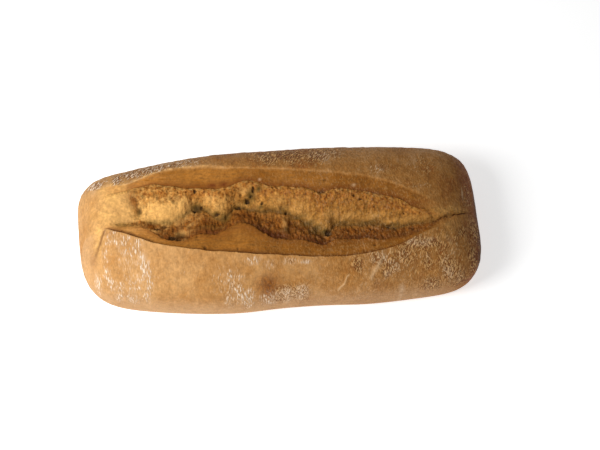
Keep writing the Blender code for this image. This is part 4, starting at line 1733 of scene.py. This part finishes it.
@dataclass(frozen=True)
class LoafFinish:
    """Baked bread: browned crust, stretched bands, torn crumb, burnt edges and flour, with painted highlights
    and painted shade.
    """

    pale_crust: Colour = srgb(196, 147, 91)
    brown_crust: Colour = srgb(170, 115, 54)
    dark_crust: Colour = srgb(144, 78, 27)
    # golden crust, also painted highlights and painted light at the left end
    gold_crust: Colour = srgb(227, 174, 100)
    pale_band: Colour = srgb(172, 113, 46)
    brown_band: Colour = srgb(134, 81, 20)
    tan_band: Colour = srgb(212, 144, 72)
    pale_crumb: Colour = srgb(224, 169, 94)
    golden_crumb: Colour = srgb(178, 122, 52)
    brown_crumb: Colour = srgb(146, 94, 34)
    speckle: Colour = srgb(130, 70, 18)
    rust: Colour = srgb(98, 48, 9)
    pale_rust: Colour = srgb(150, 88, 27)
    # olive of painted shade in the hollows of the crumb
    damp: Colour = srgb(92, 70, 25)
    # russet of singed bands, also painted shade in the crease
    russet: Colour = srgb(112, 56, 16)
    orange_crumb: Colour = srgb(168, 104, 38)
    # dark brown of burnt edges, also painted shade under the lip, below the ledge, in the crack and on the
    # right end
    scorched: Colour = srgb(84, 40, 12)
    # dark of painted shade in the holes
    pore: Colour = srgb(60, 38, 14)
    # white of flour, also painted highlights
    frost: Colour = srgb(212, 174, 134)
    haze: Colour = srgb(204, 164, 119)
    # white of flour, also used for painted highlights on the crinkle ridges
    flour: Colour = srgb(234, 208, 180)
    brown_flour: Colour = srgb(210, 161, 102)
    # painted shade in the furrows between crinkles
    furrow: Colour = srgb(122, 72, 34)
    roughness: float = 0.7
    gloss: float = 0.12
    relief_depth: float = 0.9 * MM
    relief_strength: float = 0.9

    unevenness: Blend = Blend(broad=1.2, blotch=0.8)
    browning: Rise = Rise(0.0, 0.9, toast=1, uneven=1)
    darkening: Rise = Rise(0.7, 1.4, toast=1, uneven=1)
    crust_shading: Blend = Blend(fine=0.6, mottle=0.55, down=0.4)
    powder_end: Rise = Rise(0.4, 1.0, toast=1, uneven=1)
    powder: float = 0.7
    powder_level: float = 0.3

    band_browning: Rise = Rise(0.8, 1.8, toast=1, uneven=1, grain=1.6)
    band_start: Rise = Rise(0.30, 0.44, toast=1, grain=0.2)
    band_shading: Blend = Blend(fine=0.9, grain=1.5, mottle=0.8)
    band_singe: Film = Film("singe", "mottle", 1.4, 0.15)
    dots: Span = (6 * MM, 0.15)
    dot_film: Film = Film("dots", "blotch", 4.0, -1.8)

    ripening: Rise = Rise(0.30, 1.20, toast=2.2, uneven=0.7, pale=-0.7)
    crumb_browning: Rise = Rise(0.42, 0.62, streak=0.3, mottle=0.7, singe=0.05, pale=-0.2)
    crumb_brown: float = 0.75
    crumb_paling: Film = Film("pale", "mottle", 0.5, 0.3)
    crumb_singe: Film = Film("singe", "mottle", 2.4, -0.6)
    large_freckles: Span = (2.6 * MM, 0.45)
    small_freckles: Span = (1.5 * MM, 0.4)
    small_freckle_share: float = 0.7
    freckling: Rise = Rise(0.42, 0.62, mottle=0.5, blotch=0.5, singe=0.14, pale=-0.16)
    freckle_film: Film = Film("freckles", "singe", 0.65, 0.35)
    pale_smoothness: float = 0.6
    crumb_shading: Blend = Blend(fine=1.7, streak=1.4)

    # golden crust and painted highlights, mottled
    gold_shading: Blend = Blend(mottle=1.3, fine=0.6)
    gilding: Film = Film("gold", "mottle", 1.0, 0.3)
    rusting: Rise = Rise(0.44, 0.58, fine=0.2, streak=0.4, mottle=0.4)
    rust_film: Film = Film("rust", "mottle", 1.2, 0.3)
    # painted olive shade in the hollows
    damping: Rise = Rise(0.28, 0.52, mottle=0.6, fine=0.4, damp=0.1)
    # burnt edges, and painted shade under the lip, below the ledge, in the crack and on the right end
    scorching: Film = Film("scorch", "fine", 1.0, 0.45)
    # painted shade in the holes
    pore_film: Film = Film("pore", "fine", 1.0, 0.5)
    # flour whites and painted highlights
    frosting: Film = Film("frost", "mottle", 1.2, 0.2)

    dusting: Film = Film("flour", "blotch", 1.2, 0.4)
    dusting_levels: Span = (0.0, 1.1)
    crinkling: Film = Film("wrinkle", "blotch", 1.6, 0.2)
    crinkling_levels: Span = (0.0, 0.9)
    browned: Rise = Rise(0.42, 0.62, toast=1, uneven=0.3)
    crinkly: Rise = Rise(0.05, 0.6, dusted=1)
    crinkly_share: Span = (0.8, 0.2)
    strands: Rise = Rise(0.42, 0.62, down=1)
    strand_start: Rise = Rise(0.2, 0.6, flour=1)
    strand_share: float = 0.4
    dashes: Rise = Rise(0.64, 0.74, down=1, dusted=0.18)
    dash_start: Rise = Rise(0.0, 0.4, dusted=1)
    squiggles: Rise = Rise(0.52, 0.62, crawl=1, dusted=0.05)
    # painted highlights on the crinkle ridges, in the white of flour
    ridges: Rise = Rise(0.62, 0.72, slant=1, crinkled=0.14)
    ridge_start: Rise = Rise(0.0, 0.3, crinkled=1)
    # painted shade in the furrows between crinkles and in the gaps between squiggles
    furrows: Rise = Rise(-0.52, -0.40, slant=-1)
    gaps: Rise = Rise(-0.50, -0.40, crawl=-1)
    furrow_share: float = 0.85
    # flour flecks and painted highlights on the crinkle ridges
    dust_film: Film = Film("flecks", "mottle", 1.2, 0.4)
    flour_browning: Rise = Rise(0.1, 0.75, toast=1, uneven=1, flour=-0.2, wrinkle=-0.15)

    band_relief: float = 0.3
    crumb_relief: Blend = Blend(fine=0.7, streak=0.3)
    crumb_relief_share: Triple = (0.25, 0.75, 0.5)
    flour_relief: Blend = Blend(dust=0.4, furrows=-0.3)

    def material(self) -> bpy.types.Material:
        """Makes the material, which reads the loaf's marks."""
        return BreadShader(self).build()


class BreadShader:
    """The shader of baked bread, laid up from the crumb and the crust to the flour on top."""

    def __init__(self, finish: LoafFinish) -> None:
        """Adds the marks and the noises, by name, and where the flour, the painted highlights on crinkles and
        the painted shade in their furrows lie.

        Args:
            finish: The colours and the weights of the layers.
        """
        self.finish = finish
        self.graph = ShaderGraph("baked_bread")
        self.field = {name: self.graph.mark(name) for name in Marks.__dataclass_fields__}
        self.field |= {grain.name.lower(): self.graph.noise(*grain.value) for grain in Grain}
        self.field["uneven"] = self.swing(finish.unevenness)
        self.strew_freckles()
        self.strew_flour()

    def blend(self, blend: Blend) -> Value:
        """Returns the weighted sum of a blend's marks and noises."""
        return sum((self.field[name] * weight for name, weight in blend.weights.items()), 0.0)

    def swing(self, blend: Blend) -> Value:
        """Returns a blend of noises, measured from the middle of their range."""
        return self.blend(blend) - sum(blend.weights.values()) / 2

    def rise(self, rise: Rise) -> Value:
        """Returns a rise's share, from 0 to 1."""
        return self.blend(rise).ease(*rise.levels)

    def film(self, film: Film) -> Value:
        """Returns how much of a film shows."""
        return self.field[film.mark] * (self.field[film.noise] * film.slope + film.even)

    def strew_freckles(self) -> None:
        """Strews dots for the bands and freckles, large and small, for the browner places of the crumb."""
        finish = self.finish
        self.field["dots"] = self.graph.dots(*finish.dots)
        small = self.graph.dots(*finish.small_freckles) * finish.small_freckle_share
        freckles = self.graph.dots(*finish.large_freckles).larger(small)
        self.field["freckles"] = freckles * self.rise(finish.freckling)

    def strew_flour(self) -> None:
        """Strews flour dashes on pale crust, squiggles on brown crust, painted highlights on the ridges where
        it crinkles, and painted shade in the furrows.
        """
        finish, field = self.finish, self.field
        field["dusted"] = self.film(finish.dusting).ease(*finish.dusting_levels)
        field["crinkled"] = self.film(finish.crinkling).ease(*finish.crinkling_levels)
        browned = self.rise(finish.browned)
        slope, least = finish.crinkly_share
        crinkly = self.rise(finish.crinkly) * slope + least
        strands = self.rise(finish.strands) * self.rise(finish.strand_start) * finish.strand_share
        dashes = (self.rise(finish.dashes) * self.rise(finish.dash_start)).larger(strands)
        squiggles = self.rise(finish.squiggles) * crinkly
        # Painted highlights along the crinkle ridges.
        ridges = self.rise(finish.ridges) * self.rise(finish.ridge_start)
        # Painted shade in the furrows and gaps.
        furrows = self.rise(finish.furrows) * field["crinkled"]
        field["furrows"] = furrows.larger(self.rise(finish.gaps) * crinkly * browned)
        # Flour flecks, and painted highlights on the crinkle ridges.
        field["flecks"] = (dashes * (1 - browned) + squiggles * browned).larger(ridges)
        field["dust"] = self.film(finish.dust_film)

    def build(self) -> bpy.types.Material:
        """Lays up the colours and the relief.

        Returns:
            The material.
        """
        finish, graph, field = self.finish, self.graph, self.field
        colour = graph.mix(field["band"], self.crust(), self.band())
        colour = self.baked(graph.mix(field["crumb"], colour, self.crumb()))
        # Painted shade in the furrows.
        colour = graph.mix(field["furrows"] * finish.furrow_share, colour, finish.furrow)
        flour = graph.mix(self.rise(finish.flour_browning), finish.flour, finish.brown_flour)
        # Flour, and painted highlights on the crinkle ridges in the same white.
        graph.feed(graph.shader.inputs["Base Color"], graph.mix(field["dust"], colour, flour))
        graph.shader.inputs["Roughness"].default_value = finish.roughness
        graph.shader.inputs["Specular IOR Level"].default_value = finish.gloss
        graph.bump(self.relief(), finish.relief_depth, finish.relief_strength)
        return graph.material

    def crust(self) -> bpy.types.NodeSocket:
        """Lays up plain crust: browned, darker towards the right end with painted shade, mottled and thinly
        powdered.

        Returns:
            The colour's socket.
        """
        finish, graph, field = self.finish, self.graph, self.field
        colour = graph.mix(self.rise(finish.browning), finish.pale_crust, finish.brown_crust)
        colour = graph.mix(self.rise(finish.darkening), colour, finish.dark_crust)
        colour = graph.shade(colour, 1 + self.swing(finish.crust_shading))
        powder = (field["flour"].larger(field["wrinkle"]) - finish.powder_level) * field["mottle"]
        thinned = 1 - self.rise(finish.powder_end) * finish.powder
        return graph.mix(powder * thinned * finish.powder, colour, finish.haze)

    def band(self) -> bpy.types.NodeSocket:
        """Lays up the stretched bands, smooth and streaked along the loaf.

        Returns:
            The colour's socket.
        """
        finish, graph = self.finish, self.graph
        colour = graph.mix(self.rise(finish.band_browning), finish.pale_band, finish.brown_band)
        colour = graph.mix(self.rise(finish.band_start), finish.tan_band, colour)
        colour = graph.shade(colour, 1 + self.swing(finish.band_shading))
        colour = graph.mix(self.film(finish.band_singe), colour, finish.russet)
        return graph.mix(self.film(finish.dot_film), colour, finish.rust)

    def crumb(self) -> bpy.types.NodeSocket:
        """Lays up the torn crumb: golden, browner in streaks and freckled.

        Returns:
            The colour's socket.
        """
        finish, graph = self.finish, self.graph
        colour = graph.mix(self.rise(finish.ripening), finish.pale_crumb, finish.golden_crumb)
        browner = self.rise(finish.crumb_browning) * finish.crumb_brown
        colour = graph.mix(browner, colour, finish.brown_crumb)
        colour = graph.mix(self.film(finish.crumb_paling), colour, finish.pale_crumb)
        colour = graph.mix(self.film(finish.crumb_singe), colour, finish.orange_crumb)
        colour = graph.mix(self.film(finish.freckle_film), colour, finish.speckle)
        rough = 1 - self.field["pale"] * finish.pale_smoothness
        return graph.shade(colour, 1 + rough * self.swing(finish.crumb_shading))

    def baked(self, colour: bpy.types.NodeSocket) -> bpy.types.NodeSocket:
        """Gilds the loaf and paints its highlights, rusts it, paints olive shade in its hollows, burns it and
        paints shade under its lip and ledge, in its crack and on its right end, frosts it, and paints shade
        in its holes.

        Args:
            colour: The socket of the plain loaf's colour.

        Returns:
            The colour's socket.
        """
        finish, graph = self.finish, self.graph
        gold = graph.shade(finish.gold_crust, 1 + self.swing(finish.gold_shading))
        rust = graph.mix(self.rise(finish.rusting), finish.rust, finish.pale_rust)
        # Layers: golden crust with painted highlights, rust, painted olive shade, burnt edges with painted
        # shade, painted shade in the holes, and flour whites with painted highlights.
        layers = (
            (self.film(finish.gilding), gold),
            (self.film(finish.rust_film), rust),
            (self.field["damp"] * self.rise(finish.damping), finish.damp),
            (self.film(finish.scorching), finish.scorched),
            (self.film(finish.pore_film), finish.pore),
            (self.film(finish.frosting), finish.frost),
        )
        for share, layer in layers:
            colour = graph.mix(share, colour, layer)
        return colour

    def relief(self) -> Value:
        """Works out the height of the surface's texture.

        Returns:
            The height, about 0 to 1.
        """
        finish, field = self.finish, self.field
        least, open_crumb, smooth = finish.crumb_relief_share
        rough = least + field["crumb"].larger(field["rust"]) * open_crumb - field["pale"] * smooth
        relief = field["grain"] * field["band"] * finish.band_relief
        return relief + self.blend(finish.crumb_relief) * rough + self.blend(finish.flour_relief)


@dataclass
class Studio:
    """The floor, the light and the camera."""

    floor_size: float = 3.0
    floor_colour: Colour = (0.86, 0.86, 0.86, 1.0)
    floor_glow: float = 0.62
    sky: float = 0.18
    azimuth: float = -4.02
    elevation: float = 66.0
    distance: float = 0.850
    target: Vector = field(default_factory=lambda: Vector((0.0, 0.0, 0.025)))
    lens: float = 70.0
    sensor: float = 36.0
    centre_pixel: Span = (278.0, 227.9)
    key_place: Vector = field(default_factory=lambda: Vector((-0.35, -0.15, 0.45)))
    key_size: float = 0.3
    key_power: float = 3.33

    def build(self) -> bpy.types.Object:
        """Sets the stage.

        Returns:
            The floor.
        """
        bpy.context.scene.view_settings.view_transform = "Standard"
        self.light_sky()
        self.hang_key_light()
        self.place_camera()
        return self.lay_floor()

    def lay_floor(self) -> bpy.types.Object:
        """Lays the floor.

        Returns:
            The floor's object.
        """
        bm = bmesh.new()
        bmesh.ops.create_grid(bm, x_segments=1, y_segments=1, size=self.floor_size)
        mesh = bpy.data.meshes.new("floor")
        bm.to_mesh(mesh)
        bm.free()
        graph = ShaderGraph("floor_paper")
        graph.shader.inputs["Base Color"].default_value = self.floor_colour
        graph.shader.inputs["Roughness"].default_value = 1.0
        graph.shader.inputs["Emission Color"].default_value = (1.0, 1.0, 1.0, 1.0)
        graph.shader.inputs["Emission Strength"].default_value = self.floor_glow
        mesh.materials.append(graph.material)
        floor = bpy.data.objects.new("floor", mesh)
        bpy.context.scene.collection.objects.link(floor)
        return floor

    def light_sky(self) -> None:
        """Fills the room with even light."""
        world = bpy.data.worlds.new("studio")
        world.use_nodes = True
        background = world.node_tree.nodes["Background"]
        background.inputs["Color"].default_value = (1.0, 1.0, 1.0, 1.0)
        background.inputs["Strength"].default_value = self.sky
        bpy.context.scene.world = world

    def hang_key_light(self) -> None:
        """Hangs a square light that faces the loaf."""
        lamp = bpy.data.lights.new("key", "AREA")
        lamp.size = self.key_size
        lamp.energy = self.key_power
        light = bpy.data.objects.new("key", lamp)
        light.location = self.key_place
        light.visible_camera = False
        light.rotation_euler = (self.target - self.key_place).to_track_quat("-Z", "Y").to_euler()
        bpy.context.scene.collection.objects.link(light)

    def place_camera(self) -> None:
        """Sets the camera at the photo's angle."""
        turn, tilt = math.radians(self.azimuth), math.radians(self.elevation)
        back = Vector((math.sin(turn) * math.cos(tilt), -math.cos(turn) * math.cos(tilt), math.sin(tilt)))
        lens = bpy.data.cameras.new("camera")
        lens.lens = self.lens
        lens.sensor_width = self.sensor
        across, down = self.centre_pixel
        lens.shift_x = (PHOTO_WIDTH / 2 - across) / PHOTO_WIDTH
        lens.shift_y = (down - PHOTO_HEIGHT / 2) / PHOTO_WIDTH
        camera = bpy.data.objects.new("camera", lens)
        camera.location = self.target + back * self.distance
        camera.rotation_euler = (-back).to_track_quat("-Z", "Y").to_euler()
        bpy.context.scene.collection.objects.link(camera)
        bpy.context.scene.camera = camera


def main() -> None:
    """Builds the loaf and the studio."""
    logging.basicConfig(level=logging.INFO, format="%(name)s: %(message)s")
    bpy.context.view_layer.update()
    floor = Studio().build()
    log.info("floor laid")
    loaf = Loaf().build()
    loaf.data.materials.append(LoafFinish().material())
    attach(loaf, "root")
    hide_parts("loaf")
    log.info("%s: %d faces", loaf.name, len(loaf.data.polygons))


if __name__ == "__main__":
    main()
